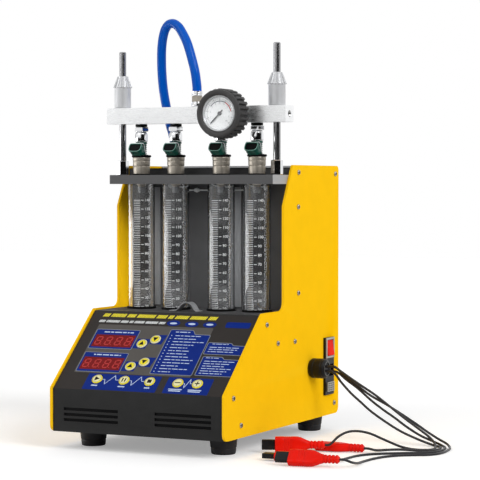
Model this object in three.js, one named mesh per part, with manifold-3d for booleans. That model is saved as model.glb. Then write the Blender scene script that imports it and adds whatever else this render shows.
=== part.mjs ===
// A bench-top fuel injector cleaner and tester: a sheet-metal casing with a sloped control panel,
// four measuring tubes, a clamp bar that holds four injectors, and a fuel rail clamped down on them.
// Millimetres. +Z is up, +X is the user's right and -Y is towards the user. The origin is on the floor,
// under the middle of the casing.
import * as THREE from "three";
import { mergeVertices } from "three/addons/utils/BufferGeometryUtils.js";
import Module from "manifold-3d";

const wasm = await Module();
wasm.setup();

// Fits that serve every piece
const gap = 0.3;
const overrun = 2;
const weld = 0.001;

// Casing and its two side plates
const casingWidth = 250;
const casingDepth = 355;
const plateThickness = 3;
const plateHeight = 342.3;
const noseHeight = 56.5;
const slopeDepth = 108.6;
const slopeRise = 95.3;
const ledgeDepth = 65.6;
const towerStraight = 136.5;
const towerLean = 28.3;
const plateCorner = 9;
const bayCorner = 11;
const topCorner = 6;
const creaseRadius = 3;

// Sheet-metal covers between the side plates
const sheet = 1.5;
const panelInset = 2.5;
const deckLip = 12;
const panFlange = 16;
const topDrop = 3.5;
const topStepInset = 58;

// Ventilation slots
const slotWidth = 79.5;
const slotHeight = 3.8;
const slotPitch = 6.9;
const slotCount = 3;
const slotMiddle = 66;
const slotBelowNose = 26.8;

// Feet
const footHeight = 23;
const footTopRadius = 18.3;
const footBottomRadius = 15.6;
const footInset = 30.3;
const frontFootInset = 58.9;

// Measuring tubes, the block they stand in and the bar above them
const tubeRadius = 18.1;
const tubeWall = 1.75;
const tubeBelowDeck = 19.8;
const tubeInBar = 4;
const tubeToWall = 29.1;
const middleGap = 68;
const tubePitch = 52.5;
const seatFloor = 10;
const seatMargin = 8;
const drainRadius = 4;
const barBelowTop = 25.1;
const barThickness = 12.1;
const barReach = 55.6;
const barChamfer = 1.5;

// Posts that carry the rail, and the knurled nuts on them
const postRadius = 4.8;
const postInset = 6.4;
const postSeat = 8;
const leftPostHeight = 166.5;
const rightPostHeight = 172.5;
const collarRadius = 8;
const collarHeight = 19;
const nutRadius = 11.2;
const nutHeight = 27.5;
const nutFlangeRadius = 12.9;
const nutConeRadius = 7.3;
const nutConeHeight = 15.5;

// Fuel rail
const railClearance = 68.7;
const railHeight = 21.6;
const railDepth = 24.7;
const railOverhang = 18;
const portRadius = 4.6;
const portDepth = 3.5;

// Injectors and the adapters that feed them
const nozzleRadius = 6.5;
const nozzleReach = 5;
const injectorFootRadius = 11.2;
const injectorRadius = 12;
const injectorHeight = 24.5;
const neckRadius = 5.6;
const neckHeight = 20;
const stemRadius = 4;
const stemHeight = 11;
const connectorWidth = 18;
const connectorHeight = 14.5;
const connectorReach = 22;
const connectorTilt = 32;
const connectorWall = 1.7;
const connectorSocket = 8;
const adapterRadius = 8.7;
const adapterFlangeRadius = 10.2;
const adapterFlange = 6.5;
const adapterWasherRadius = 8;
const adapterWasher = 3.5;
const adapterShankRadius = 5;
const adapterShank = 6;

// Pressure gauge on the rail's front
const gaugeX = 53.5;
const gaugeRadius = 27;
const gaugeDepth = 26;
const gaugeNeckRadius = 8;
const gaugeNeck = 8.4;
const gaugeShankRadius = 5;
const gaugeShank = 6;
const dialRadius = 23.5;
const dialRecess = 4;
const bootWall = 5.2;
const bootLip = 3.1;
const bootGrooves = 20;
const bootGrooveDepth = 2;
const bootGrooveWidth = 4;
const bootGrooveLength = 18;
const needleLength = 18;
const needleTail = 6;
const needleWidth = 1.4;
const needleThickness = 0.7;
const needleHubRadius = 2.6;
const needleHubHeight = 1.6;
const needleZeroAngle = -135;

// Pressure hose and its fitting on the rail's top
const fittingX = -2;
const fittingBossRadius = 7.5;
const fittingBoss = 6.5;
const fittingHexRadius = 7.8;
const fittingHex = 8;
const ferruleRadius = 7.6;
const ferrule = 5.3;
const fittingShankRadius = 5;
const fittingShank = 5;
const hoseRadius = 6.2;
const hoseHoleX = -54.5;
const hoseHoleToWall = 9.5;
const hoseHoleRadius = 7.2;
// Offsets from the fitting's top face, and then from the middle of the hole in the top cover
const hoseRise = [
  [0, 0, 0], [0, 0, 5.2], [-0.9, 0.1, 13.1], [-3.1, 0.3, 26.3], [-7.1, 1, 40.2], [-12, 2.3, 54.3],
  [-17.3, 3.8, 66.9], [-24.6, 6.3, 78.4], [-32.3, 8.8, 87.8], [-40.9, 11.3, 92.8], [-49.4, 13.8, 92.4],
];
const hoseFall = [
  [-3.6, -22.3, 187.8], [-8.2, -20.3, 178.2], [-11.5, -18.3, 163.7], [-13.1, -16.3, 146.2],
  [-13.5, -14.5, 129.2], [-12.9, -13, 112.7], [-11.5, -11.6, 98.2], [-9.3, -9.8, 82.9], [-5.2, -6.8, 58.5],
  [-2.2, -5.1, 47], [-0.6, -3.6, 36], [0, -1, 18.2], [0, 0, 3], [0, 0, -11.8],
];

// Control panel: places are given across the panel and up its slope from the fold
const keyRadius = 7.2;
const keyProud = 1.3;
const keyFlange = 1.6;
const keyFlangeThickness = 1;
const keyFit = 0.4;
const arrowKeyX = -26.5;
const arrowKeyStepX = 16.6;
const arrowKeyStepUp = 8.4;
const upperArrowUp = 85.6;
const lowerArrowUp = 45.2;
const keyRowUp = 20.4;
const playKeyX = -64.5;
const pauseKeyX = -25.2;
const stopKeyX = 11.8;
const minusKeyX = 52;
const plusKeyX = 79.5;
const windowWidth = 59;
const windowHeight = 22;
const windowThickness = 3;
const windowX = -70;
const upperWindowUp = 88.6;
const lowerWindowUp = 48;

// Power inlet with its rocker switch and fuse drawer, in the right side plate
const inletToRear = 37.7;
const inletBottom = 28.6;
const inletHeight = 78.5;
const inletWidth = 29;
const inletProud = 3.5;
const inletFlange = 0.9;
const inletBody = 26;
const rockerWidth = 20.6;
const rockerHeight = 21;
const rockerProud = 1.2;
const rockerDepth = 9;
const rockerPocket = 12;
const rockerTilt = 8;
const rockerBelowTop = 14.3;
const socketWidth = 24.5;
const socketHeight = 16.5;
const socketDepth = 16;
const socketAboveBottom = 33.5;
const drawerWidth = 21.6;
const drawerHeight = 12.4;
const drawerDepth = 21;
const drawerAboveBottom = 11;
const drawerRibs = 3;
const drawerRibWidth = 1.6;
const drawerRibDepth = 1;

// Round cable connector, in the right side plate
const connectorToRear = 93;
const cableConnectorHeight = 69.4;
const cableConnectorRadius = 13.4;
const cableConnectorLength = 24;
const cableConnectorBevel = 2;
const cableConnectorRecess = 1.5;
const cableConnectorMouth = 8.5;
const cableShankRadius = 9.5;
const cableShank = 12;

// Injector cords and their two-pin plugs, which lie on the floor beside the casing
const cordRadius = 1.45;
const plugTipLength = 17;
const plugTipWidth = 13;
const plugTipThickness = 6.5;
const plugBodyWidth = 21;
const plugBodyThickness = 11.6;
const plugBodyLength = 36;
const plugTaper = 7;
const plugReliefRadius = 5.4;
const plugRelief = 20;
const plugPlaces = [
  { x: 10, y: -91.5, turn: 24, roll: 90 },
  { x: 71, y: -180.5, turn: 9, roll: 45 },
  { x: 47, y: -39.5, turn: 3, roll: 0 },
  { x: 39, y: -147.5, turn: 6, roll: 0 },
];
const cordSpread = 3.1;
const cordLead = 5;
// Points that each cord passes between the connector and its plug, from the right side plate's face
const cordRoutes = [
  [
    [35, 80.8, 96.4], [45, 79.5, 90.8], [60, 77.5, 82.3], [75.2, 75.5, 74], [97, 73.8, 62],
    [119.2, 72, 47.5], [141, 69, 33.5], [162, 65, 21.5], [178, 60.5, 12.5], [188, 54, 6], [193.6, 43, 2.4],
    [196.4, 31, 1.6], [196, 20.5, 1.6], [188, 14.4, 1.6], [172.2, 14.8, 1.6], [158, 13.5, 4], [147, 5.5, 9.6],
    [137.4, -5, 16], [126.5, -14.5, 22.4], [115, -25, 26], [105, -35, 25.8], [96.5, -45, 21],
  ],
  [
    [37, 86.6, 93.5], [49, 83.5, 84.6], [67.2, 81.5, 73.3], [88, 79.5, 60.4], [112.1, 76.8, 49.5],
    [135, 74.8, 37.8], [156, 72.3, 26.6], [175, 68.5, 16.4], [190, 64.5, 9.6], [204, 57, 5.2],
    [213, 43.5, 2.2], [217, 25, 1.6], [218.6, 4, 1.6], [216, -13, 1.6], [207.5, -26, 1.6], [194.4, -34, 1.6],
    [179.2, -45.5, 1.6], [167, -64, 1.6], [160.5, -88, 1.6], [158.5, -115, 1.6], [161, -140, 3],
    [161, -158, 6.4],
  ],
  [
    [35.5, 81, 87.3], [46, 80.3, 75.6], [60.5, 78, 62.4], [76.1, 75, 51.2], [91.7, 71.7, 40.4],
    [113, 68.4, 28.4], [136.5, 65, 17], [156, 62.8, 10], [171.5, 61.5, 5.2], [185.5, 58.4, 2],
    [197, 50, 1.6], [202.2, 37, 1.6], [202.6, 21, 1.6], [195, 9.5, 1.6], [179.6, 6.6, 1.6],
    [159.2, 4.8, 1.6], [144, -7, 1.6], [138, -24, 3],
  ],
  [
    [37, 86.8, 88.4], [51, 84.2, 79.4], [69.5, 82.3, 68], [89.6, 78.6, 53.8], [107, 76.6, 42.8],
    [125, 74, 32.9], [143, 71, 22.3], [163, 69, 12.2], [177, 67.2, 7.4], [191.5, 62, 3.6],
    [203, 51.5, 1.6], [208.6, 36, 1.6], [210, 17, 1.6], [206.5, 0, 1.6], [193, -13.5, 1.6], [174, -25.5, 1.6],
    [157, -37.5, 1.6], [141.5, -53, 1.6], [132.5, -72, 1.6], [130, -95, 1.6], [130.5, -115, 2.4],
    [128.5, -130, 4.6],
  ],
];
const cordSteps = [20, 20, 18, 20];

// Inside the casing
const tankWidth = 108;
const tankDepth = 112;
const tankHeight = 96;
const tankWall = 3;
const tankMargin = 10;
const tankNeckRadius = 17;
const tankNeckHeight = 12;
const pumpRadius = 19;
const pumpLength = 92;
const pumpX = 52;
const pumpFromRear = 30;
const pumpBracketHeight = 12;
const pumpBracketWidth = 44;
const pumpNippleRadius = 4.5;
const pumpNippleHeight = 16;
const boardWidth = 190;
const boardDepth = 66;
const boardThickness = 1.6;
const boardStandoff = 12;
const boardStandoffRadius = 3.5;
const boardMargin = 8;
const boardFromFront = 26;
const supplyWidth = 52;
const supplyDepth = 44;
const supplyHeight = 26;
const sinkWidth = 62;
const sinkDepth = 14;
const sinkHeight = 24;
const capacitorRadius = 9;
const capacitorHeight = 22;

// How finely round pieces are cut
const sides = { fine: 24, round: 18, small: 12, hose: 10, cord: 8, hex: 6 };
const arcSteps = 5;
const hoseSteps = 40;

// Places worked out from the sizes above
const front = -casingDepth / 2;
const rear = casingDepth / 2;
const plateBottom = footHeight;
const plateTop = plateBottom + plateHeight;
const noseZ = plateBottom + noseHeight;
const ledgeZ = noseZ + slopeRise;
const slopeEndY = front + slopeDepth;
const towerY = slopeEndY + ledgeDepth;
const towerTopY = towerY + towerLean;
const innerHalf = casingWidth / 2 - plateThickness;
const coverWidth = 2 * (innerHalf - gap);
const deckZ = ledgeZ - panelInset;
const wallY = towerTopY + gap;
const tubeY = wallY - tubeToWall;
const tubeXs = [-middleGap / 2 - tubePitch, -middleGap / 2, middleGap / 2, middleGap / 2 + tubePitch];
const tubeBottomZ = deckZ - tubeBelowDeck;
const barBottomZ = plateTop - barBelowTop;
const barTopZ = barBottomZ + barThickness;
const postX = innerHalf - gap - postInset;
const railBottomZ = barTopZ + railClearance;
const railTopZ = railBottomZ + railHeight;
const railMiddleZ = railBottomZ + railHeight / 2;
const railFrontY = tubeY - railDepth / 2;
const railHalf = postX + railOverhang;
const injectorTopZ = barTopZ + gap + injectorHeight;
const adapterTopZ = railBottomZ - gap;
const neckTopZ = injectorTopZ + neckHeight;
const rightFace = casingWidth / 2;
const panZ = plateBottom + gap;
const panTopZ = panZ + sheet;
const slopeAngle = Math.atan2(slopeRise, slopeDepth);
const radians = THREE.MathUtils.degToRad;

const machine = new THREE.Group();

// Solids: closed geometries are joined and cut here

function asSolid(geometry) {
  const bare = new THREE.BufferGeometry();
  bare.setAttribute("position", geometry.getAttribute("position"));
  if (geometry.index) bare.setIndex(geometry.index);
  const merged = mergeVertices(bare, weld);
  return new wasm.Manifold(
    new wasm.Mesh({
      numProp: 3,
      vertProperties: merged.getAttribute("position").array,
      triVerts: new Uint32Array(merged.index.array),
    }),
  );
}

function asGeometry(solid) {
  const mesh = solid.getMesh();
  const geometry = new THREE.BufferGeometry();
  geometry.setAttribute("position", new THREE.BufferAttribute(mesh.vertProperties, 3));
  geometry.setIndex(new THREE.BufferAttribute(mesh.triVerts, 1));
  return geometry;
}

function cut(geometry, tools) {
  const whole = asSolid(geometry);
  return asGeometry(tools.reduce((solid, tool) => solid.subtract(asSolid(tool)), whole));
}

function join(geometries) {
  const [first, ...rest] = geometries.map(asSolid);
  return asGeometry(rest.reduce((solid, other) => solid.add(other), first));
}

// Shapes

function block([x0, x1], [y0, y1], [z0, z1]) {
  const geometry = new THREE.BoxGeometry(x1 - x0, y1 - y0, z1 - z0);
  return geometry.translate((x0 + x1) / 2, (y0 + y1) / 2, (z0 + z1) / 2);
}

// A profile of [radius, height] points, listed upwards, turned about Z
function turned(profile, count = sides.round) {
  const points = profile.map(([radius, height]) => new THREE.Vector2(radius, height));
  return new THREE.LatheGeometry(points, count).rotateX(Math.PI / 2);
}

function rod(radius, z0, z1, count = sides.round) {
  return turned([[0, z0], [radius, z0], [radius, z1], [0, z1]], count);
}

function ring(inner, outer, z0, z1, count = sides.round) {
  return turned([[inner, z0], [outer, z0], [outer, z1], [inner, z1], [inner, z0]], count);
}

// Turns a shape made along Z so that it runs to the right, or towards the user
const toRight = (geometry) => geometry.rotateY(Math.PI / 2);
const toFront = (geometry) => geometry.rotateX(Math.PI / 2);

// An outline in Y and Z, drawn out along X
function across(outline, x0, x1) {
  const shape = new THREE.Shape(outline.map(([y, z]) => new THREE.Vector2(y, z)));
  const geometry = new THREE.ExtrudeGeometry(shape, { depth: x1 - x0, bevelEnabled: false });
  const axes = new THREE.Matrix4().makeBasis(
    new THREE.Vector3(0, 1, 0),
    new THREE.Vector3(0, 0, 1),
    new THREE.Vector3(1, 0, 0),
  );
  return geometry.applyMatrix4(axes).translate(x0, 0, 0);
}

// The path moved sideways, to the right of its direction of travel
function offsetPath(path, distance) {
  const normals = path.slice(1).map(([y, z], i) => {
    const run = [y - path[i][0], z - path[i][1]];
    const length = Math.hypot(...run);
    return [run[1] / length, -run[0] / length];
  });
  return path.map(([y, z], i) => {
    const before = normals[Math.max(i - 1, 0)];
    const after = normals[Math.min(i, normals.length - 1)];
    const share = distance / (1 + before[0] * after[0] + before[1] * after[1]);
    return [y + (before[0] + after[0]) * share, z + (before[1] + after[1]) * share];
  });
}

// A sheet bent along a path in Y and Z, `depth` inside that path
function bentSheet(path, depth = 0) {
  const outer = offsetPath(path, depth);
  const inner = offsetPath(path, depth + sheet).reverse();
  return across([...outer, ...inner], -coverWidth / 2, coverWidth / 2);
}

// An outline of [y, z, radius] corners with each corner rounded
function rounded(corners) {
  return corners.flatMap(([y, z, radius], i) => {
    const here = new THREE.Vector2(y, z);
    const [y0, z0] = corners.at(i - 1);
    const [y1, z1] = corners[(i + 1) % corners.length];
    const back = new THREE.Vector2(y0, z0).sub(here).normalize();
    const on = new THREE.Vector2(y1, z1).sub(here).normalize();
    const half = Math.acos(back.dot(on)) / 2;
    const middle = back.clone().add(on).normalize().multiplyScalar(radius / Math.sin(half)).add(here);
    const start = back.clone().multiplyScalar(radius / Math.tan(half)).add(here).sub(middle);
    const end = on.clone().multiplyScalar(radius / Math.tan(half)).add(here).sub(middle);
    const turn = Math.atan2(start.cross(end), start.dot(end));
    const origin = new THREE.Vector2();
    return Array.from({ length: arcSteps + 1 }, (_, step) =>
      start.clone().rotateAround(origin, (turn * step) / arcSteps).add(middle).toArray(),
    );
  });
}

// Offsets made into points around a place
const placed = (offsets, place) => offsets.map((offset) => new THREE.Vector3(...offset).add(place));

// A tube of the given radius along a smooth curve through the points of its route
function tubeAlong(route, radius, count, steps) {
  const curve = new THREE.CatmullRomCurve3(route, false, "centripetal");
  const corners = Array.from({ length: count }, (_, i) => {
    const angle = (2 * Math.PI * i) / count;
    return new THREE.Vector2(radius * Math.cos(angle), radius * Math.sin(angle));
  });
  return new THREE.ExtrudeGeometry(new THREE.Shape(corners), { steps, extrudePath: curve });
}

function finish(color, roughness, metalness = 0, opacity = 1) {
  return new THREE.MeshStandardMaterial({ color, roughness, metalness, opacity, transparent: opacity < 1 });
}

const finishes = {
  yellowPaint: finish(0xfcc411, 0.4),
  blackSheet: finish(0x35322f, 0.6, 0.1),
  rubber: finish(0x1d1c1c, 0.8),
  glass: finish(0xdfe8ea, 0.05, 0, 0.35),
  greyBar: finish(0x4c4c4d, 0.5, 0.3),
  steel: finish(0xb9b9bb, 0.3, 1),
  aluminium: finish(0xd9dadb, 0.35, 1),
  chrome: finish(0xe4e5e7, 0.1, 1),
  injector: finish(0xa59b8c, 0.4, 0.8),
  dial: finish(0xcfd5d8, 0.3),
  red: finish(0xe11e0f, 0.45),
  windowRed: finish(0x8c1919, 0.15),
  blueHose: finish(0x0050c8, 0.25),
  cream: finish(0xe8dfb0, 0.5),
  blackPlastic: finish(0x191919, 0.45),
  tankPlastic: finish(0xd8d8cf, 0.5),
  board: finish(0x1c5a34, 0.6),
};

function add(name, geometry, material, parent = machine) {
  const mesh = new THREE.Mesh(geometry, material);
  mesh.name = name;
  parent.add(mesh);
  return mesh;
}

// Side plates
function plateOutline() {
  return rounded([
    [front, plateBottom, plateCorner],
    [rear, plateBottom, plateCorner],
    [rear, plateTop, topCorner],
    [towerTopY, plateTop, topCorner / 2],
    [towerY, ledgeZ + towerStraight, creaseRadius],
    [towerY, ledgeZ, bayCorner],
    [slopeEndY, ledgeZ, topCorner],
    [front, noseZ, creaseRadius],
  ]);
}

const inletY = rear - inletToRear;
const inletBottomZ = plateBottom + inletBottom;
const inletTopZ = inletBottomZ + inletHeight;
const inletBodyHalf = inletWidth / 2 - inletFlange;
const connectorY = rear - connectorToRear;
const connectorZ = plateBottom + cableConnectorHeight;

function makeSidePlates() {
  const half = casingWidth / 2;
  add("side_plate_left", across(plateOutline(), -half, -half + plateThickness), finishes.yellowPaint);
  const inletHole = block(
    [half - plateThickness - overrun, half + overrun],
    [inletY - inletBodyHalf - gap, inletY + inletBodyHalf + gap],
    [inletBottomZ + inletFlange - gap, inletTopZ - inletFlange + gap],
  );
  const connectorHole = toRight(rod(cableShankRadius + gap, half - plateThickness - overrun, half + overrun));
  connectorHole.translate(0, connectorY, connectorZ);
  const right = across(plateOutline(), half - plateThickness, half);
  add("side_plate_right", cut(right, [inletHole, connectorHole]), finishes.yellowPaint);
}

// Covers

function slots(y0, y1) {
  return [-slotMiddle, slotMiddle].flatMap((x) =>
    Array.from({ length: slotCount }, (_, row) => {
      const top = noseZ - slotBelowNose - row * slotPitch + slotHeight / 2;
      return block([x - slotWidth / 2, x + slotWidth / 2], [y0, y1], [top - slotHeight, top]);
    }),
  );
}

// The panel's own frame: its origin on the fold, Y up the slope and Z out of the panel
const panelFrame = new THREE.Group();
panelFrame.position.set(
  0,
  front + panelInset * Math.sin(slopeAngle),
  noseZ - panelInset * Math.cos(slopeAngle),
);
panelFrame.rotation.x = slopeAngle;
panelFrame.updateMatrix();
machine.add(panelFrame);

const windowUps = [upperWindowUp, lowerWindowUp];
const keys = [
  ["key_up_1", arrowKeyX, upperArrowUp],
  ["key_down_1", arrowKeyX + arrowKeyStepX, upperArrowUp + arrowKeyStepUp],
  ["key_up_2", arrowKeyX, lowerArrowUp],
  ["key_down_2", arrowKeyX + arrowKeyStepX, lowerArrowUp + arrowKeyStepUp],
  ["key_play", playKeyX, keyRowUp],
  ["key_pause", pauseKeyX, keyRowUp],
  ["key_stop", stopKeyX, keyRowUp],
  ["key_minus", minusKeyX, keyRowUp],
  ["key_plus", plusKeyX, keyRowUp],
];

function makeControlPanel() {
  const path = [[front, panZ], [front, noseZ], [slopeEndY, ledgeZ], [slopeEndY + deckLip, ledgeZ]];
  const through = [-sheet - overrun, overrun];
  const holes = keys.map(([, x, up]) => rod(keyRadius + keyFit, ...through).translate(x, up, 0));
  const openings = windowUps.map((up) =>
    block(
      [windowX - windowWidth / 2 - gap, windowX + windowWidth / 2 + gap],
      [up - windowHeight / 2 - gap, up + windowHeight / 2 + gap],
      through,
    ),
  );
  const tools = [...holes, ...openings].map((tool) => tool.applyMatrix4(panelFrame.matrix));
  tools.push(...slots(front + panelInset - overrun, front + panelInset + sheet + overrun));
  add("control_panel", cut(bentSheet(path, panelInset), tools), finishes.blackSheet);
}

function makeBasePan() {
  const y0 = front + panelInset + sheet + gap;
  const y1 = rear - panelInset - sheet - gap;
  const path = [[y1, panZ + panFlange], [y1, panZ], [y0, panZ], [y0, panZ + panFlange]];
  add("base_pan", bentSheet(path), finishes.blackSheet);
}

function makeDeck() {
  const wallTop = plateTop - topDrop - sheet - gap;
  const path = [[slopeEndY + deckLip + gap, deckZ], [wallY, deckZ], [wallY, wallTop]];
  const holes = tubeXs.map((x) =>
    rod(tubeRadius + gap, deckZ - sheet - overrun, deckZ + overrun, sides.fine).translate(x, tubeY, 0),
  );
  add("deck_sheet", cut(bentSheet(path), holes), finishes.blackSheet);
}

function makeRearCover() {
  const back = rear - panelInset;
  const step = rear - topStepInset;
  const low = plateTop - topDrop;
  const path = [[wallY, low], [step, low], [step, plateTop], [back, plateTop], [back, panZ]];
  const hoseHole = rod(hoseHoleRadius, low - sheet - overrun, low + overrun);
  hoseHole.translate(hoseHoleX, wallY + hoseHoleToWall, 0);
  const tools = [hoseHole, ...slots(back - sheet - overrun, back + overrun)];
  add("rear_cover", cut(bentSheet(path), tools), finishes.blackSheet);
}

function makeFeet() {
  const profile = [[0, 0], [footBottomRadius, 0], [footTopRadius, footHeight], [0, footHeight]];
  const x = casingWidth / 2 - footInset;
  const places = {
    foot_front_left: [-x, front + frontFootInset],
    foot_front_right: [x, front + frontFootInset],
    foot_rear_left: [-x, rear - footInset],
    foot_rear_right: [x, rear - footInset],
  };
  for (const [name, [footX, footY]] of Object.entries(places)) {
    add(name, turned(profile), finishes.rubber).position.set(footX, footY, 0);
  }
}

// Measuring tubes, seat block and clamp bar

function makeTubes() {
  const tubeTop = barBottomZ + tubeInBar;
  tubeXs.forEach((x, i) => {
    const tube = ring(tubeRadius - tubeWall, tubeRadius, tubeBottomZ, tubeTop, sides.fine);
    add("measuring_tube_" + (i + 1), tube, finishes.glass).position.set(x, tubeY, 0);
  });
}

function makeSeatBlock() {
  const top = deckZ - sheet - gap;
  const socketFloor = tubeBottomZ - gap;
  const half = tubeXs.at(-1) + tubeRadius + seatMargin;
  const depth = tubeRadius + seatMargin;
  const whole = block([-half, half], [tubeY - depth, tubeY + depth], [socketFloor - seatFloor, top]);
  const tools = tubeXs.flatMap((x) => [
    rod(tubeRadius + gap, socketFloor, top + overrun, sides.fine).translate(x, tubeY, 0),
    rod(drainRadius, socketFloor - seatFloor - overrun, top, sides.small).translate(x, tubeY, 0),
  ]);
  add("tube_seat_block", cut(whole, tools), finishes.aluminium);
}

function makeClampBar() {
  const half = innerHalf - gap;
  const y0 = wallY - barReach;
  const y1 = wallY - gap;
  const outline = new THREE.Shape(
    [
      [-half + barChamfer, y0],
      [half, y0],
      [half, y1],
      [-half, y1],
      [-half, y0 + barChamfer],
    ].map((point) => new THREE.Vector2(...point)),
  );
  const whole = new THREE.ExtrudeGeometry(outline, { depth: barThickness, bevelEnabled: false });
  whole.translate(0, 0, barBottomZ);
  const tools = tubeXs.flatMap((x) => [
    rod(tubeRadius + gap, barBottomZ - overrun, barBottomZ + tubeInBar + gap, sides.fine).translate(x, tubeY, 0),
    rod(nozzleRadius + gap, barBottomZ, barTopZ + overrun).translate(x, tubeY, 0),
  ]);
  for (const x of [-postX, postX]) {
    tools.push(rod(postRadius + gap, barTopZ - postSeat, barTopZ + overrun).translate(x, tubeY, 0));
  }
  add("clamp_bar", cut(whole, tools), finishes.greyBar);
}

// Posts and nuts

function makePosts() {
  const foot = barTopZ - postSeat + gap;
  const collar = [[0, barTopZ + gap], [collarRadius, barTopZ + gap]];
  const collarTop = barTopZ + gap + collarHeight;
  collar.push([collarRadius, collarTop], [0, collarTop]);
  const heights = { post_left: [-postX, leftPostHeight], post_right: [postX, rightPostHeight] };
  for (const [name, [x, height]] of Object.entries(heights)) {
    const shape = join([rod(postRadius, foot, barTopZ + height, sides.small), turned(collar, sides.hex)]);
    add(name, shape, finishes.steel).position.set(x, tubeY, 0);
  }
}

function makeNuts() {
  const bore = postRadius + gap;
  const z0 = railTopZ + gap;
  const z1 = z0 + nutHeight;
  const profile = [
    [bore, z0], [nutRadius, z0], [nutRadius, z1], [nutFlangeRadius, z1],
    [nutConeRadius, z1 + nutConeHeight], [bore, z1 + nutConeHeight], [bore, z0],
  ];
  for (const [name, x] of Object.entries({ clamp_nut_left: -postX, clamp_nut_right: postX })) {
    add(name, turned(profile), finishes.aluminium).position.set(x, tubeY, 0);
  }
}

// Fuel rail with what is screwed into it

function makeRail() {
  const whole = block([-railHalf, railHalf], [railFrontY, railFrontY + railDepth], [railBottomZ, railTopZ]);
  const postHoles = [-postX, postX].map((x) =>
    rod(postRadius + gap, railBottomZ - overrun, railTopZ + overrun).translate(x, tubeY, 0),
  );
  const adapterHoles = tubeXs.map((x) =>
    rod(adapterShankRadius + gap, railBottomZ - overrun, railBottomZ + adapterShank + gap, sides.small)
      .translate(x, tubeY, 0),
  );
  const fittingHole = rod(fittingShankRadius + gap, railTopZ - fittingShank - gap, railTopZ + overrun, sides.small);
  fittingHole.translate(fittingX, tubeY, 0);
  const gaugeHole = toFront(rod(gaugeShankRadius + gap, -gaugeShank - gap, overrun, sides.small));
  gaugeHole.translate(gaugeX, railFrontY, railMiddleZ);
  const port = toRight(rod(portRadius, railHalf - portDepth, railHalf + overrun, sides.small));
  port.translate(0, tubeY, railMiddleZ);
  const tools = [...postHoles, ...adapterHoles, fittingHole, gaugeHole, port];
  add("fuel_rail", cut(whole, tools), finishes.aluminium);
}

function makeAdapters() {
  const mouth = neckTopZ + gap;
  const flangeTop = adapterTopZ - adapterWasher;
  const boreTop = neckTopZ + stemHeight + gap;
  const profile = [
    [0, boreTop], [stemRadius + gap, boreTop], [stemRadius + gap, mouth], [adapterRadius, mouth],
    [adapterRadius, flangeTop - adapterFlange], [adapterFlangeRadius, flangeTop - adapterFlange],
    [adapterFlangeRadius, flangeTop], [adapterWasherRadius, flangeTop], [adapterWasherRadius, adapterTopZ],
    [adapterShankRadius, adapterTopZ], [adapterShankRadius, railBottomZ + adapterShank],
    [0, railBottomZ + adapterShank],
  ];
  tubeXs.forEach((x, i) => {
    add("rail_adapter_" + (i + 1), turned(profile, sides.small), finishes.chrome).position.set(x, tubeY, 0);
  });
}

function makeInjectors() {
  const foot = barTopZ + gap;
  const profile = [
    [0, barBottomZ - nozzleReach], [nozzleRadius, barBottomZ - nozzleReach], [nozzleRadius, foot],
    [injectorFootRadius, foot], [injectorRadius, injectorTopZ], [neckRadius, injectorTopZ],
    [neckRadius, neckTopZ], [stemRadius, neckTopZ], [stemRadius, neckTopZ + stemHeight],
    [0, neckTopZ + stemHeight],
  ];
  const halfX = connectorWidth / 2;
  const halfZ = connectorHeight / 2;
  const shell = block([-halfX, halfX], [-connectorReach, 0], [-halfZ, halfZ]);
  const socket = block(
    [-halfX + connectorWall, halfX - connectorWall],
    [-connectorReach - overrun, -connectorReach + connectorSocket],
    [-halfZ + connectorWall, halfZ - connectorWall],
  );
  for (const piece of [shell, socket]) piece.rotateX(-radians(connectorTilt)).translate(0, 0, injectorTopZ);
  const whole = cut(join([turned(profile, sides.small), shell]), [socket]);
  tubeXs.forEach((x, i) => {
    add("injector_" + (i + 1), whole.clone(), finishes.injector).position.set(x, tubeY, 0);
  });
}

// Gauge, made along Z from the rail's front face outwards and then turned to face the user
function makeGauge() {
  const bodyBack = gaugeNeck;
  const bodyFront = gaugeNeck + gaugeDepth;
  const dialFace = bodyFront - dialRecess;
  const place = (geometry) => toFront(geometry).translate(gaugeX, railFrontY, railMiddleZ);
  const body = turned([
    [0, -gaugeShank], [gaugeShankRadius, -gaugeShank], [gaugeShankRadius, gap], [gaugeNeckRadius, gap],
    [gaugeNeckRadius, bodyBack], [gaugeRadius, bodyBack], [gaugeRadius, bodyFront], [dialRadius, bodyFront],
    [dialRadius, dialFace], [0, dialFace],
  ], sides.fine);
  add("gauge_case", place(body), finishes.dial);

  const bootOuter = gaugeRadius + gap + bootWall;
  const lipBack = bodyFront + gap;
  const boot = turned([
    [gaugeRadius + gap, bodyBack], [bootOuter, bodyBack], [bootOuter, lipBack + bootLip],
    [dialRadius, lipBack + bootLip], [dialRadius, lipBack], [gaugeRadius + gap, lipBack],
    [gaugeRadius + gap, bodyBack],
  ], bootGrooves * 2);
  const grooves = Array.from({ length: bootGrooves }, (_, i) => {
    const groove = block(
      [bootOuter - bootGrooveDepth, bootOuter + overrun],
      [-bootGrooveWidth / 2, bootGrooveWidth / 2],
      [bodyBack - overrun, bodyBack + bootGrooveLength],
    );
    return groove.rotateZ((2 * Math.PI * (i + 1 / 2)) / bootGrooves);
  });
  add("gauge_boot", place(cut(boot, grooves)), finishes.rubber);

  const hub = rod(needleHubRadius, dialFace + gap, dialFace + gap + needleHubHeight, sides.small);
  const blade = block(
    [-needleWidth / 2, needleWidth / 2],
    [-needleTail, needleLength],
    [dialFace + gap + needleThickness, dialFace + gap + 2 * needleThickness],
  );
  const needle = join([hub, blade]);
  needle.rotateZ(-radians(needleZeroAngle));
  add("gauge_needle", place(needle), finishes.blackPlastic);
}

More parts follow.
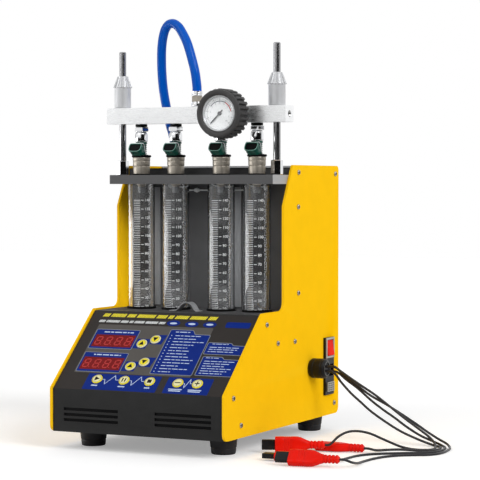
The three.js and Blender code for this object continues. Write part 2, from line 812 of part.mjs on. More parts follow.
function makeHose() {
  const base = railTopZ + gap;
  const boss = turned([
    [0, railTopZ - fittingShank], [fittingShankRadius, railTopZ - fittingShank], [fittingShankRadius, base],
    [fittingBossRadius, base], [fittingBossRadius, base + fittingBoss], [0, base + fittingBoss],
  ], sides.small);
  const hexTop = base + fittingBoss + fittingHex;
  const hex = rod(fittingHexRadius, base + fittingBoss, hexTop, sides.hex);
  const sleeve = rod(ferruleRadius, hexTop, hexTop + ferrule - gap, sides.small);
  add("hose_fitting", join([boss, hex, sleeve]), finishes.chrome).position.set(fittingX, tubeY, 0);
  const start = new THREE.Vector3(fittingX, tubeY, hexTop + ferrule);
  const hole = new THREE.Vector3(hoseHoleX, wallY + hoseHoleToWall, plateTop - topDrop);
  const route = [...placed(hoseRise, start), ...placed(hoseFall, hole)];
  add("pressure_hose", tubeAlong(route, hoseRadius, sides.hose, hoseSteps), finishes.blueHose);
}

// Keys and display windows, in the panel's frame
function makeControls() {
  const under = -sheet - gap;
  const profile = [
    [0, under - keyFlangeThickness], [keyRadius + keyFlange, under - keyFlangeThickness],
    [keyRadius + keyFlange, under], [keyRadius, under], [keyRadius, keyProud], [0, keyProud],
  ];
  for (const [name, x, up] of keys) {
    add(name, turned(profile), finishes.cream, panelFrame).position.set(x, up, 0);
  }
  const half = [windowWidth / 2, windowHeight / 2];
  windowUps.forEach((up, i) => {
    const pane = block([-half[0], half[0]], [-half[1], half[1]], [-windowThickness, 0]);
    add("display_window_" + (i + 1), pane, finishes.windowRed, panelFrame).position.set(windowX, up, 0);
  });
}

// Power inlet, rocker and fuse drawer
function makeInlet() {
  const face = rightFace + inletProud;
  const middleHalf = inletWidth / 2;
  const bezel = block([rightFace + gap, face], [-middleHalf, middleHalf], [inletBottomZ, inletTopZ]);
  const body = block(
    [rightFace - inletBody, rightFace + inletProud / 2],
    [-inletBodyHalf, inletBodyHalf],
    [inletBottomZ + inletFlange, inletTopZ - inletFlange],
  );
  const rockerSwing = rockerDepth * Math.sin(radians(rockerTilt));
  const rockerZ = inletTopZ - rockerBelowTop;
  const socketZ = inletBottomZ + socketAboveBottom;
  const drawerZ = inletBottomZ + drawerAboveBottom;
  const pocket = (depth, width, height, z) =>
    block([face - depth, face + overrun], [-width / 2, width / 2], [z - height / 2, z + height / 2]);
  const tools = [
    pocket(rockerPocket, rockerWidth + 2 * gap, rockerHeight + 2 * gap + rockerSwing, rockerZ),
    pocket(socketDepth, socketWidth, socketHeight, socketZ),
    pocket(drawerDepth + gap, drawerWidth + 2 * gap, drawerHeight + 2 * gap, drawerZ),
  ];
  add("power_inlet", cut(join([bezel, body]), tools), finishes.blackPlastic).position.set(0, inletY, 0);

  const rockerHalf = rockerHeight / 2;
  const profile = new THREE.Shape(
    [
      [rockerProud - rockerDepth, rockerSwing - rockerHalf],
      [rockerProud, -rockerHalf],
      [rockerProud, rockerHalf],
      [rockerProud - rockerDepth, rockerHalf - rockerSwing],
    ].map((point) => new THREE.Vector2(...point)),
  );
  const rocker = new THREE.ExtrudeGeometry(profile, { depth: rockerWidth, bevelEnabled: false });
  rocker.rotateX(Math.PI / 2).translate(0, rockerWidth / 2, 0).rotateY(-radians(rockerTilt));
  add("power_rocker", rocker, finishes.red).position.set(face, inletY, rockerZ);

  const drawerFront = face + drawerRibDepth;
  const drawer = block([face - drawerDepth, drawerFront], [-drawerWidth / 2, drawerWidth / 2], [
    -drawerHeight / 2,
    drawerHeight / 2,
  ]);
  const ribPitch = drawerHeight / (drawerRibs + 1);
  const ribs = Array.from({ length: drawerRibs }, (_, i) => {
    const z = (i + 1) * ribPitch - drawerHeight / 2;
    const reach = drawerWidth / 2 + overrun;
    return block([face, drawerFront + overrun], [-reach, reach], [z - drawerRibWidth / 2, z + drawerRibWidth / 2]);
  });
  add("fuse_drawer", cut(drawer, ribs), finishes.blackPlastic).position.set(0, inletY, drawerZ);
}

// Cable connector, cords and plugs

function makeCableConnector() {
  const end = cableConnectorLength;
  const profile = [
    [0, -cableShank], [cableShankRadius, -cableShank], [cableShankRadius, gap],
    [cableConnectorRadius - cableConnectorBevel, gap], [cableConnectorRadius, gap + cableConnectorBevel],
    [cableConnectorRadius, end - cableConnectorBevel / 2], [cableConnectorRadius - cableConnectorBevel / 2, end],
    [cableConnectorMouth, end], [cableConnectorMouth, end - cableConnectorRecess],
    [0, end - cableConnectorRecess],
  ];
  const shape = toRight(turned(profile));
  add("cable_connector", shape, finishes.blackPlastic).position.set(rightFace, connectorY, connectorZ);
}

function makePlug() {
  const bodyEnd = plugTipLength + plugBodyLength;
  const reliefStart = bodyEnd + plugTaper;
  const end = reliefStart + plugRelief;
  const half = plugBodyWidth / 2;
  const body = turned([
    [0, plugTipLength], [half - plugTaper / 3, plugTipLength], [half, plugTipLength + plugTaper / 3],
    [half, bodyEnd - plugTaper], [plugReliefRadius, reliefStart], [0, reliefStart],
  ], sides.small).scale(plugBodyThickness / plugBodyWidth, 1, 1);
  const relief = rod(plugReliefRadius, bodyEnd, end, sides.small);
  const tip = block(
    [-plugTipThickness / 2, plugTipThickness / 2],
    [-plugTipWidth / 2, plugTipWidth / 2],
    [0, plugTipLength + plugTaper],
  );
  return toRight(join([body, relief, tip]));
}

function makeHarness() {
  const plug = makePlug();
  const plugLength = plugTipLength + plugBodyLength + plugTaper + plugRelief;
  const start = rightFace + cableConnectorLength - cableConnectorRecess + gap;
  const quadrants = [[-1, 1], [1, 1], [-1, -1], [1, -1]];
  plugPlaces.forEach(({ x, y, turn, roll }, i) => {
    const rise = Math.hypot(
      (plugBodyWidth / 2) * Math.sin(radians(roll)),
      (plugBodyThickness / 2) * Math.cos(radians(roll)),
    );
    const lying = new THREE.Group();
    lying.position.set(rightFace + x, y, rise + gap);
    lying.rotation.z = radians(turn);
    machine.add(lying);
    add("injector_plug_" + (i + 1), plug.clone(), finishes.red, lying).rotation.x = radians(roll);

    const [aside, above] = quadrants[i];
    const exit = new THREE.Vector3(start, connectorY + aside * cordSpread, connectorZ + above * cordSpread);
    const outwards = new THREE.Vector3(Math.cos(radians(turn)), Math.sin(radians(turn)), 0);
    const end = lying.position.clone().addScaledVector(outwards, plugLength + gap);
    const route = [
      exit,
      exit.clone().setX(start + cordLead),
      ...placed(cordRoutes[i], new THREE.Vector3(rightFace, 0, 0)),
      end.clone().addScaledVector(outwards, cordLead),
      end,
    ];
    const cord = tubeAlong(route, cordRadius, sides.cord, cordSteps[i]);
    add("injector_cord_" + (i + 1), cord, finishes.blackPlastic);
  });
}

// Inside the casing

function makeTank() {
  const floor = panTopZ + gap;
  const x0 = -innerHalf + tankMargin;
  const x1 = x0 + tankWidth;
  const y1 = rear - panelInset - sheet - panFlange;
  const y0 = y1 - tankDepth;
  const top = floor + tankHeight;
  const neckX = (x0 + x1) / 2;
  const neckY = (y0 + y1) / 2;
  const neckTop = top + tankNeckHeight;
  const shell = block([x0, x1], [y0, y1], [floor, top]);
  const neck = rod(tankNeckRadius, top - tankWall, neckTop).translate(neckX, neckY, 0);
  const hollow = block([x0 + tankWall, x1 - tankWall], [y0 + tankWall, y1 - tankWall], [
    floor + tankWall,
    top - tankWall,
  ]);
  const mouth = rod(tankNeckRadius - tankWall, top - 2 * tankWall, neckTop + overrun);
  mouth.translate(neckX, neckY, 0);
  add("fluid_tank", cut(join([shell, neck]), [hollow, mouth]), finishes.tankPlastic);
}

function makePump() {
  const floor = panTopZ + gap;
  const y1 = rear - pumpFromRear;
  const y0 = y1 - pumpLength;
  const axisZ = floor + pumpBracketHeight / 2 + pumpRadius;
  const barrel = toFront(rod(pumpRadius, -y1, -y0)).translate(0, 0, axisZ);
  const bracket = block(
    [-pumpBracketWidth / 2, pumpBracketWidth / 2],
    [y0 + pumpRadius, y1 - pumpRadius],
    [floor, floor + pumpBracketHeight],
  );
  const top = axisZ + pumpRadius;
  const nipple = rod(pumpNippleRadius, axisZ, top + pumpNippleHeight, sides.small);
  nipple.translate(0, y0 + pumpRadius, 0);
  add("fuel_pump", join([barrel, bracket, nipple]), finishes.steel).position.x = pumpX;
}

function makeBoard() {
  const floor = panTopZ + gap;
  const z0 = floor + boardStandoff;
  const z1 = z0 + boardThickness;
  const y0 = front + boardFromFront;
  const y1 = y0 + boardDepth;
  const half = boardWidth / 2;
  const pieces = [block([-half, half], [y0, y1], [z0, z1])];
  for (const x of [-half + boardMargin, half - boardMargin]) {
    for (const y of [y0 + boardMargin, y1 - boardMargin]) {
      pieces.push(rod(boardStandoffRadius, floor, z1, sides.small).translate(x, y, 0));
    }
  }
  const supplyX = -half + 3 * boardMargin;
  const middleY = (y0 + y1) / 2;
  pieces.push(
    block([supplyX, supplyX + supplyWidth], [middleY - supplyDepth / 2, middleY + supplyDepth / 2], [
      z0,
      z1 + supplyHeight,
    ]),
    block([-sinkWidth / 2 + boardMargin, sinkWidth / 2 + boardMargin], [y1 - boardMargin - sinkDepth, y1 - boardMargin], [
      z0,
      z1 + sinkHeight,
    ]),
  );
  const capacitorX = sinkWidth / 2 + 3 * boardMargin;
  for (const x of [capacitorX, capacitorX + 3 * capacitorRadius]) {
    pieces.push(rod(capacitorRadius, z0, z1 + capacitorHeight, sides.small).translate(x, middleY, 0));
  }
  add("driver_board", join(pieces), finishes.board);
}

makeSidePlates();
makeControlPanel();
makeBasePan();
makeDeck();
makeRearCover();
makeFeet();
makeTubes();
makeSeatBlock();
makeClampBar();
makePosts();
makeNuts();
makeRail();
makeAdapters();
makeInjectors();
makeGauge();
makeHose();
makeControls();
makeInlet();
makeCableConnector();
makeHarness();
makeTank();
makePump();
makeBoard();

export default machine;
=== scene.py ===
# %% [markdown]
# # Dressing a bench injector tester
#
# The machine stands on a bench: a yellow and black sheet-metal casing, four glass measuring tubes,
# and a fuel rail that is clamped down on four injectors. The CAD model already holds every piece at
# its true place, so this lesson loads it as a fixed frame and only dresses it. Fine forms are built
# over the plain solids, and each finish is a node material that works at its real scale.

# %% Load the frame
import math

import bmesh
import bpy
from mathutils import Matrix, Vector
from mathutils.geometry import tessellate_polygon


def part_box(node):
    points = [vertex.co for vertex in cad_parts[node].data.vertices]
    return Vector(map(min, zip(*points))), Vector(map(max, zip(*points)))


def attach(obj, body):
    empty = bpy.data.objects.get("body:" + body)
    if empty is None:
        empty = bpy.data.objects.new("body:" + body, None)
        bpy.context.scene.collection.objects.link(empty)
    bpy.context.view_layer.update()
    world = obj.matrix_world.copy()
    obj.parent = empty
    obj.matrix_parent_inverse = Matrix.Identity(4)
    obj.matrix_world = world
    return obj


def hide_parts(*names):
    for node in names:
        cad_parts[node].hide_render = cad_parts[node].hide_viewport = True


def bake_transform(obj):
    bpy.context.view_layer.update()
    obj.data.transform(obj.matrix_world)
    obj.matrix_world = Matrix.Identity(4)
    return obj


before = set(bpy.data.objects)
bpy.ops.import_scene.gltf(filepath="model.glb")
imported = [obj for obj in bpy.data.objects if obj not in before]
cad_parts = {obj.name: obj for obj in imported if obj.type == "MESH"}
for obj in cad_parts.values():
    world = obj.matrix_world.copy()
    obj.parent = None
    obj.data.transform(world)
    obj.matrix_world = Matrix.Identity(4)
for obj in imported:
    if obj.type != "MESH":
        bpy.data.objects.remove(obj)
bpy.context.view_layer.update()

MM = 0.001
clearance = 0.3

# %% [markdown]
# ## The camera
#
# A product photograph like this one is taken from far away with a long lens, so that upright edges
# stay upright. The camera stands to the machine's right, about level with the top of the casing.
# Its place was found by fitting known corners of the casing to the photograph.

# %% Camera
scene = bpy.context.scene
scene.view_settings.view_transform = "Standard"
camera_data = bpy.data.cameras.new("camera")
camera_data.sensor_width = 36.0
camera_data.lens = 145.24
camera = bpy.data.objects.new("camera", camera_data)
camera.location = Vector((1184.4, -2295.7, 339.5)) * MM
camera.rotation_euler = (math.radians(90 - 1.64), 0.0, math.radians(26.1))
scene.collection.objects.link(camera)
scene.camera = camera
print("camera at", [round(v, 3) for v in camera.location])

# %% [markdown]
# ## Tools for making pieces
#
# Nearly everything here is one of three things: a shape that was turned on a lathe, a shape lofted
# through a row of loops, or a flat print. A loft covers the first two, because a turned shape is a
# loft through circles. Rounding the corners of a profile before it is turned gives every edge the
# small radius that catches light on a real part.

# %% Helpers for meshes

def place_piece(obj, body, replaces=()):
    """Links a new piece, lets it ride on its body and hides the CAD parts that it replaces."""
    if obj.name not in scene.collection.objects:
        scene.collection.objects.link(obj)
    if body:
        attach(obj, body)
    if replaces:
        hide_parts(*replaces)
    return obj


def mesh_piece(name, points, faces, material, body="casing", slot=None, matrix=None, replaces=(), sharp=35,
               baked=False):
    """A mesh from points in millimetres, smooth but for the edges sharper than the given angle. A baked
    place moves the points themselves, so that the piece's own box stays tight."""
    mesh = bpy.data.meshes.new(name)
    mesh.from_pydata([Vector(p) * MM for p in points], [], faces)
    mesh.materials.append(material)
    tidy = bmesh.new()
    tidy.from_mesh(mesh)
    bmesh.ops.recalc_face_normals(tidy, faces=tidy.faces)
    tidy.to_mesh(mesh)
    tidy.free()
    mesh.shade_smooth()
    mesh.set_sharp_from_angle(angle=math.radians(sharp))
    obj = bpy.data.objects.new(name, mesh)
    if baked:
        mesh.transform(matrix)
    elif matrix is not None:
        obj.matrix_world = matrix
    return place_piece(obj, body, replaces)


def round_corners(points, radius, closed=False, steps=3):
    """The same outline with each corner replaced by a short curve."""
    rounded = []
    count = len(points)
    for i, point in enumerate(points):
        here = Vector(point)
        if not closed and i in (0, count - 1):
            rounded.append(tuple(here))
            continue
        before = Vector(points[i - 1]) - here
        after = Vector(points[(i + 1) % count]) - here
        reach = min(radius, before.length * 0.45, after.length * 0.45)
        if reach < 0.01:
            rounded.append(tuple(here))
            continue
        start = here + before.normalized() * reach
        end = here + after.normalized() * reach
        for step in range(steps + 1):
            t = step / steps
            rounded.append(tuple(start * (1 - t) ** 2 + here * 2 * t * (1 - t) + end * t**2))
    return rounded


def loft(name, loops, material, closed=False, capped=True, **where):
    """A skin through loops that have the same number of points."""
    count = len(loops[0])
    points = [p for ring in loops for p in ring]
    faces = []
    rows = len(loops) if closed else len(loops) - 1
    for row in range(rows):
        a = row * count
        b = ((row + 1) % len(loops)) * count
        for i in range(count):
            j = (i + 1) % count
            faces.append((a + i, a + j, b + j, b + i))
    if capped and not closed:
        faces.append(tuple(range(count)))
        faces.append(tuple(range(len(points) - count, len(points))))
    return mesh_piece(name, points, faces, material, **where)


def circle_loop(radius, height, sides, wave=None):
    """A circle in a plane across Z. A wave takes the angle and gives what to add to the radius."""
    ring = []
    for i in range(sides):
        angle = 2 * math.pi * i / sides
        r = radius + (wave(angle) if wave else 0)
        ring.append((r * math.cos(angle), r * math.sin(angle), height))
    return ring


def turned(name, profile, material, soft=0.4, sides=64, closed=False, **where):
    """A shape turned about its local Z from (radius, height) points, each corner slightly rounded."""
    outline = round_corners(profile, soft, closed)
    loops = [circle_loop(max(r, 0.02), h, sides) for r, h in outline]
    return loft(name, loops, material, closed=closed, **where)


def at(x, y, z, turn_x=0.0, turn_y=0.0, turn_z=0.0):
    """A place in millimetres with turns in degrees, as a matrix in metres."""
    turn = Matrix.Rotation(math.radians(turn_z), 4, "Z")
    turn = turn @ Matrix.Rotation(math.radians(turn_y), 4, "Y")
    turn = turn @ Matrix.Rotation(math.radians(turn_x), 4, "X")
    return Matrix.Translation(Vector((x, y, z)) * MM) @ turn


def low_high(node):
    """A CAD node's lowest and highest corners, in millimetres."""
    low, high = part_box(node)
    return low / MM, high / MM


def middle(node):
    low, high = low_high(node)
    return (low + high) / 2


def standing(node, turn_z=0.0):
    """The place on the floor under a CAD node's middle."""
    centre = middle(node)
    return at(centre.x, centre.y, 0, turn_z=turn_z)


def block_piece(name, low, high, material, soft=0.5, **where):
    """A box with rounded edges between two corners in millimetres."""
    low, high = Vector(low), Vector(high)
    form = bmesh.new()
    bmesh.ops.create_cube(form, size=1)
    for v in form.verts:
        v.co = Vector(((low[k] + high[k]) / 2 + v.co[k] * (high[k] - low[k]) for k in range(3)))
    reach = min(soft, min(high - low) * 0.4)
    bmesh.ops.bevel(form, geom=form.edges[:], offset=reach, segments=3, profile=0.5, affect="EDGES")
    points = [tuple(v.co) for v in form.verts]
    form.verts.index_update()
    faces = [tuple(v.index for v in f.verts) for f in form.faces]
    form.free()
    return mesh_piece(name, points, faces, material, **where)


def catmull_rom(points, step):
    """A smooth line through the given points, with a new point about every step."""
    line = [Vector(p) for p in points]
    line = [line[0] * 2 - line[1]] + line + [line[-1] * 2 - line[-2]]
    smooth = []
    for p0, p1, p2, p3 in zip(line, line[1:], line[2:], line[3:]):
        t1 = (p1 - p0).length ** 0.5
        t2 = t1 + (p2 - p1).length ** 0.5
        t3 = t2 + (p3 - p2).length ** 0.5
        count = max(1, round((p2 - p1).length / step))
        for i in range(count):
            t = t1 + (t2 - t1) * i / count
            a1 = p0 * ((t1 - t) / t1) + p1 * (t / t1)
            a2 = p1 * ((t2 - t) / (t2 - t1)) + p2 * ((t - t1) / (t2 - t1))
            a3 = p2 * ((t3 - t) / (t3 - t2)) + p3 * ((t - t2) / (t3 - t2))
            b1 = a1 * ((t2 - t) / t2) + a2 * (t / t2)
            b2 = a2 * ((t3 - t) / (t3 - t1)) + a3 * ((t - t1) / (t3 - t1))
            smooth.append(b1 * ((t2 - t) / (t2 - t1)) + b2 * ((t - t1) / (t2 - t1)))
    smooth.append(line[-2])
    return smooth


def curve_piece(name, points, diameter, material, body="casing", replaces=()):
    """A round wire, cord or hose along points in millimetres."""
    data = bpy.data.curves.new(name, "CURVE")
    data.dimensions = "3D"
    data.bevel_depth = diameter / 2 * MM
    data.bevel_resolution = 5
    data.use_fill_caps = True
    spline = data.splines.new("POLY")
    spline.points.add(len(points) - 1)
    for spot, point in zip(spline.points, points):
        spot.co = (*(Vector(point) * MM), 1)
    spline.use_smooth = True
    data.materials.append(material)
    return place_piece(bpy.data.objects.new(name, data), body, replaces)


def line_length(points):
    return sum((b - a).length for a, b in zip(points, points[1:]))


print("helpers ready")

# %% [markdown]
# ## Finishes
#
# A real finish is never one flat colour. Powder coat has a fine orange peel, brushed metal has
# scratches along one direction, moulded plastic has a faint grain and rubber is dusty. One function
# lays out the nodes they share: a fine noise for relief and gloss, and a broad one that shifts the
# colour a little. The noise is measured in metres on the object, so its scale is the real one.

# %% A function for finishes

def add_node(tree, kind, inputs, **settings):
    """A new shader node. Its inputs are given as values, or as the outputs that feed them."""
    node = tree.nodes.new(f"ShaderNode{kind}")
    for key, value in settings.items():
        setattr(node, key, value)
    for key, value in inputs.items():
        if isinstance(value, bpy.types.NodeSocket):
            tree.links.new(value, node.inputs[key])
        else:
            node.inputs[key].default_value = value
    return node


def finish(name, color, roughness, metallic=0.0, speck=0.5, stretch=(1, 1, 1), relief=0.01, mottle=0.06,
           spread=0.08, wear=0.0, specular=0.5):
    """speck is the grain's size in millimetres, stretch makes it longer along an axis, relief is its
    depth in millimetres, mottle the shift of the colour, spread that of the roughness."""
    material = bpy.data.materials.new(name)
    material.use_nodes = True
    tree = material.node_tree
    shader = tree.nodes["Principled BSDF"]
    shader.inputs["Metallic"].default_value = metallic
    shader.inputs["Specular IOR Level"].default_value = specular
    where = add_node(tree, "TexCoord", {}).outputs["Object"]
    scaled = add_node(tree, "Mapping", {"Scale": [1 / (speck * MM * s) for s in stretch], "Vector": where})
    grain = add_node(tree, "TexNoise", {"Scale": 1.0, "Detail": 3.0, "Vector": scaled.outputs["Vector"]})
    gloss = add_node(tree, "MapRange", {"From Min": 0.3, "From Max": 0.7,
                                        "To Min": max(roughness - spread, 0.0),
                                        "To Max": min(roughness + spread, 1.0),
                                        "Value": grain.outputs["Fac"]})
    tree.links.new(gloss.outputs["Result"], shader.inputs["Roughness"])
    broad = add_node(tree, "TexNoise", {"Scale": 45.0, "Detail": 4.0, "Vector": where})
    shade = add_node(tree, "ValToRGB", {"Fac": broad.outputs["Fac"]})
    ramp = shade.color_ramp.elements
    ramp[0].position, ramp[1].position = 0.3, 0.7
    ramp[0].color = [c * (1 - mottle) for c in color] + [1]
    ramp[1].color = [min(c * (1 + mottle), 1) for c in color] + [1]
    tint = shade.outputs["Color"]
    if wear:
        edges = add_node(tree, "NewGeometry", {})
        rub = add_node(tree, "MapRange", {"From Min": 0.52, "From Max": 0.62, "To Max": wear,
                                          "Value": edges.outputs["Pointiness"]})
        rubbed = [min(c * 1.5 + 0.08, 1) for c in color] + [1]
        worn = add_node(tree, "Mix", {"A": tint, "B": rubbed, "Factor": rub.outputs["Result"]},
                        data_type="RGBA")
        tint = worn.outputs["Result"]
    tree.links.new(tint, shader.inputs["Base Color"])
    bump = add_node(tree, "Bump", {"Strength": 0.6, "Distance": relief * MM, "Height": grain.outputs["Fac"]})
    tree.links.new(bump.outputs["Normal"], shader.inputs["Normal"])
    return material


def srgb(red, green, blue):
    """A colour as a screen shows it, from 0 to 255, in the linear values that shaders use."""
    return [((c / 255 + 0.055) / 1.055) ** 2.4 if c > 10 else c / 255 / 12.92 for c in (red, green, blue)]


# %% Sheet-metal paints
yellow_paint = finish("yellow powder coat", srgb(253, 192, 0), 0.42, speck=0.55, relief=0.012,
                      mottle=0.02, wear=0.2, specular=0.0)
black_coat = finish("black powder coat", srgb(34, 34, 34), 0.5, speck=0.35, relief=0.02, mottle=0.1,
                    wear=0.15, specular=0.16)
# The bay's sheet is lighter than the panel's black coat; part of that is painted light that lifts the shade
# in the bay.
wall_coat_with_painted_light = finish("grey-black powder coat with painted light", srgb(74, 74, 75), 0.6, speck=0.35, relief=0.02, mottle=0.06,
                   wear=0.1, specular=0.02)
zinc = finish("zinc-plated sheet", srgb(150, 152, 152), 0.42, 1.0, speck=6, relief=0.002, mottle=0.12,
              spread=0.12)
strap_steel = finish("spring strap", srgb(176, 177, 180), 0.3, 0.45, speck=0.4, relief=0.004, mottle=0.1)
strip_paint = finish("grey guide strip", srgb(132, 133, 135), 0.4, 0.3, speck=0.3, stretch=(1, 1, 30),
                     relief=0.004, mottle=0.06, specular=0.3)
# A light grey that paints the highlight along the bend of the top cover's front edge.
cover_edge_highlight = finish("light grey painted edge highlight", srgb(176, 177, 178), 0.4, speck=0.4, relief=0.004, mottle=0.04,
                   specular=0.3)

# %% Inks


def ink(name, red, green, blue):
    """Screen print on a film: flat, slightly rough and hardly glossy."""
    return finish(name, srgb(red, green, blue), 0.45, speck=0.2, relief=0.003, mottle=0.05, specular=0.1)


panel_film = ink("brown-black panel film", 48, 44, 42)
field_film = ink("grey panel field", 84, 81, 78)
blue_ink = ink("blue ink", 0, 36, 122)
pale_ink = ink("pale ink", 190, 205, 232)
grey_ink = ink("grey ink", 130, 135, 140)
yellow_ink = ink("yellow ink", 250, 234, 64)
black_ink = ink("black ink", 24, 22, 20)
red_ink = ink("red ink", 200, 60, 60)
dial_ink = ink("pale grey dial ink", 150, 153, 156)
white_ink = ink("white ink", 235, 238, 238)

# %% Metals
brushed_aluminium = finish("brushed aluminium", srgb(245, 246, 247), 0.3, 1.0, speck=0.18, stretch=(60, 1, 1),
                           relief=0.006, mottle=0.03, spread=0.12, wear=0.2)


def bare_and_lit_ends(material, color):
    """Shows a lighter colour where a face looks along X: the bar's bare sawn ends, brightened further with
    painted light.
    """
    tree = material.node_tree
    base = tree.nodes["Principled BSDF"].inputs["Base Color"]
    facing = add_node(tree, "NewGeometry", {})
    parts = add_node(tree, "SeparateXYZ", {"Vector": facing.outputs["Normal"]})
    size = add_node(tree, "Math", {0: parts.outputs["X"]}, operation="ABSOLUTE")
    ends = add_node(tree, "MapRange", {"From Min": 0.9, "From Max": 0.97, "Value": size.outputs["Value"]})
    mixed = add_node(tree, "Mix", {"A": base.links[0].from_socket, "B": [*color, 1],
                                   "Factor": ends.outputs["Result"]}, data_type="RGBA")
    tree.links.new(mixed.outputs["Result"], base)


anodised = finish("dark anodised bar", srgb(80, 80, 81), 0.45, 0.3, speck=0.2, stretch=(50, 1, 1),
                  relief=0.004, mottle=0.06, spread=0.1, wear=0.3, specular=0.2)
# The ends' pale grey is partly painted light, as if the bar were lit from the right.
bare_and_lit_ends(anodised, srgb(168, 168, 168))
bright_rod = finish("bright drawn rod", srgb(160, 160, 162), 0.2, 1.0, speck=0.2, stretch=(1, 1, 40),
                    relief=0.002, mottle=0.04, spread=0.06)
chrome = finish("polished plating", srgb(228, 229, 231), 0.07, 1.0, speck=3, relief=0.003, mottle=0.02,
                spread=0.03)
injector_steel = finish("warm plated steel", srgb(166, 159, 148), 0.4, 0.85, speck=0.25, stretch=(1, 1, 0.3),
                        relief=0.004, mottle=0.06, spread=0.1)
screw_steel = finish("screw steel", srgb(196, 196, 195), 0.22, 1.0, speck=0.4, relief=0.004, mottle=0.06)
screw_dark = finish("button-head screw", srgb(176, 172, 166), 0.22, 1.0, speck=0.4, relief=0.003, mottle=0.06)
spring_wire = finish("spring wire", srgb(214, 216, 218), 0.18, 1.0, speck=0.6, relief=0.002, mottle=0.04)
brass = finish("brass", srgb(198, 160, 88), 0.3, 1.0, speck=0.4, relief=0.003, mottle=0.06)

# %% Plastics and rubber
boot_rubber = finish("ribbed rubber", srgb(56, 55, 55), 0.55, speck=0.25, relief=0.015, mottle=0.12,
                     specular=0.35)
foot_rubber = finish("foot rubber", srgb(32, 31, 33), 0.5, speck=0.3, relief=0.012, mottle=0.12, specular=0.3)
cord_skin = finish("cord skin", srgb(30, 29, 32), 0.36, speck=0.5, relief=0.004, mottle=0.1, specular=0.4)
hose_skin = finish("blue hose", srgb(0, 84, 186), 0.14, speck=1.2, relief=0.001, mottle=0.03, spread=0.03,
                   specular=0.12)
green_plastic = finish("green moulded plastic", srgb(12, 72, 60), 0.3, speck=0.3, relief=0.006, mottle=0.14,
                       specular=0.35)
# A pale green that paints the highlight along the hood's rim.
green_rim_highlight = finish("green rim with painted highlight", srgb(128, 168, 156), 0.35, speck=0.3, relief=0.004, mottle=0.12,
                    specular=0.3)
black_plastic = finish("black moulded plastic", srgb(17, 17, 19), 0.34, speck=0.3, relief=0.006, mottle=0.1,
                       specular=0.22)
needle_grey = finish("grey needle paint", srgb(96, 97, 100), 0.4, speck=0.3, relief=0.003, mottle=0.05,
                     specular=0.2)
ring_grey = finish("satin ring", srgb(196, 198, 200), 0.3, 0.4, speck=0.4, relief=0.003, mottle=0.04,
                   specular=0.3)
# Matt black for the real seals, washers and rings, and also painted shade in sockets, recesses and slots.
black_and_painted_shade = finish("matt black and painted shade", srgb(11, 11, 12), 0.6, speck=0.3, relief=0.005, mottle=0.1,
                      specular=0.08)
smoked_plastic = finish("smoked tip", srgb(126, 128, 130), 0.3, speck=0.3, relief=0.003, mottle=0.06,
                        specular=0.3)
drawer_plastic = finish("grey ribbed plastic", srgb(100, 100, 97), 0.45, speck=0.3, relief=0.006, mottle=0.08,
                        specular=0.3)
drawer_light = finish("pale moulded plastic", srgb(172, 171, 164), 0.4, speck=0.3, relief=0.004, mottle=0.06,
                      specular=0.3)
red_plastic = finish("red moulded plastic", srgb(224, 18, 0), 0.34, speck=0.4, relief=0.008, mottle=0.08,
                     specular=0.15)
key_yellow = finish("yellow key cap", srgb(240, 222, 44), 0.35, speck=0.25, relief=0.004, mottle=0.04,
                    specular=0.2)
key_cream = finish("cream key ring", srgb(232, 226, 172), 0.4, speck=0.25, relief=0.004, mottle=0.04,
                   specular=0.2)
clear_plastic = finish("milky tube", srgb(196, 199, 200), 0.25, speck=0.5, relief=0.003, mottle=0.05,
                       specular=0.4)
tank_plastic = finish("natural polyethylene", srgb(214, 213, 200), 0.42, speck=0.8, relief=0.02, mottle=0.05)
board_green = finish("solder mask", srgb(26, 92, 52), 0.35, speck=0.6, relief=0.01, mottle=0.2)
dial_white = finish("printed dial", srgb(250, 251, 252), 0.45, speck=0.3, relief=0.003, mottle=0.03,
                    specular=0.2)
rocker_red = finish("lit red rocker", srgb(230, 28, 0), 0.3, speck=0.6, relief=0.003, mottle=0.08,
                    specular=0.03)
red_window = finish("red display filter", srgb(118, 20, 22), 0.25, speck=0.8, relief=0.002, mottle=0.1,
                    specular=0.08)
red_digit = finish("lit display segment", srgb(176, 44, 42), 0.3, speck=0.4, relief=0.002, mottle=0.08,
                   specular=0.2)
print("finishes:", len(bpy.data.materials))

# %% [markdown]
# Glass needs light to pass through it. A thin clear wall with a little absorption keeps the dark
# tower wall visible behind the tubes, while its edges bend the pale surroundings into bright lines.

# %% Glass

def clear_glass(name, tint, roughness):
    material = finish(name, tint, roughness, speck=8, relief=0, mottle=0.01, spread=0.004)
    shader = material.node_tree.nodes["Principled BSDF"]
    shader.inputs["Transmission Weight"].default_value = 1.0
    shader.inputs["IOR"].default_value = 1.47
    return material


tube_glass = clear_glass("measuring tube glass", (0.9, 0.905, 0.91), 0.0)
lens_glass = clear_glass("gauge lens", (0.98, 0.985, 0.985), 0.02)
print("glass ready")

# %% [markdown]
# ## Cords and the hose
#
# Four black cords leave the round connector together, fall to the floor, turn back and end in red
# plugs. The hose rises stiffly from the rail, bends over and dives through the casing's top. Their
# routes repeat the points of the CAD model, so that both lie in the same place, and a smooth curve
# runs through the points.

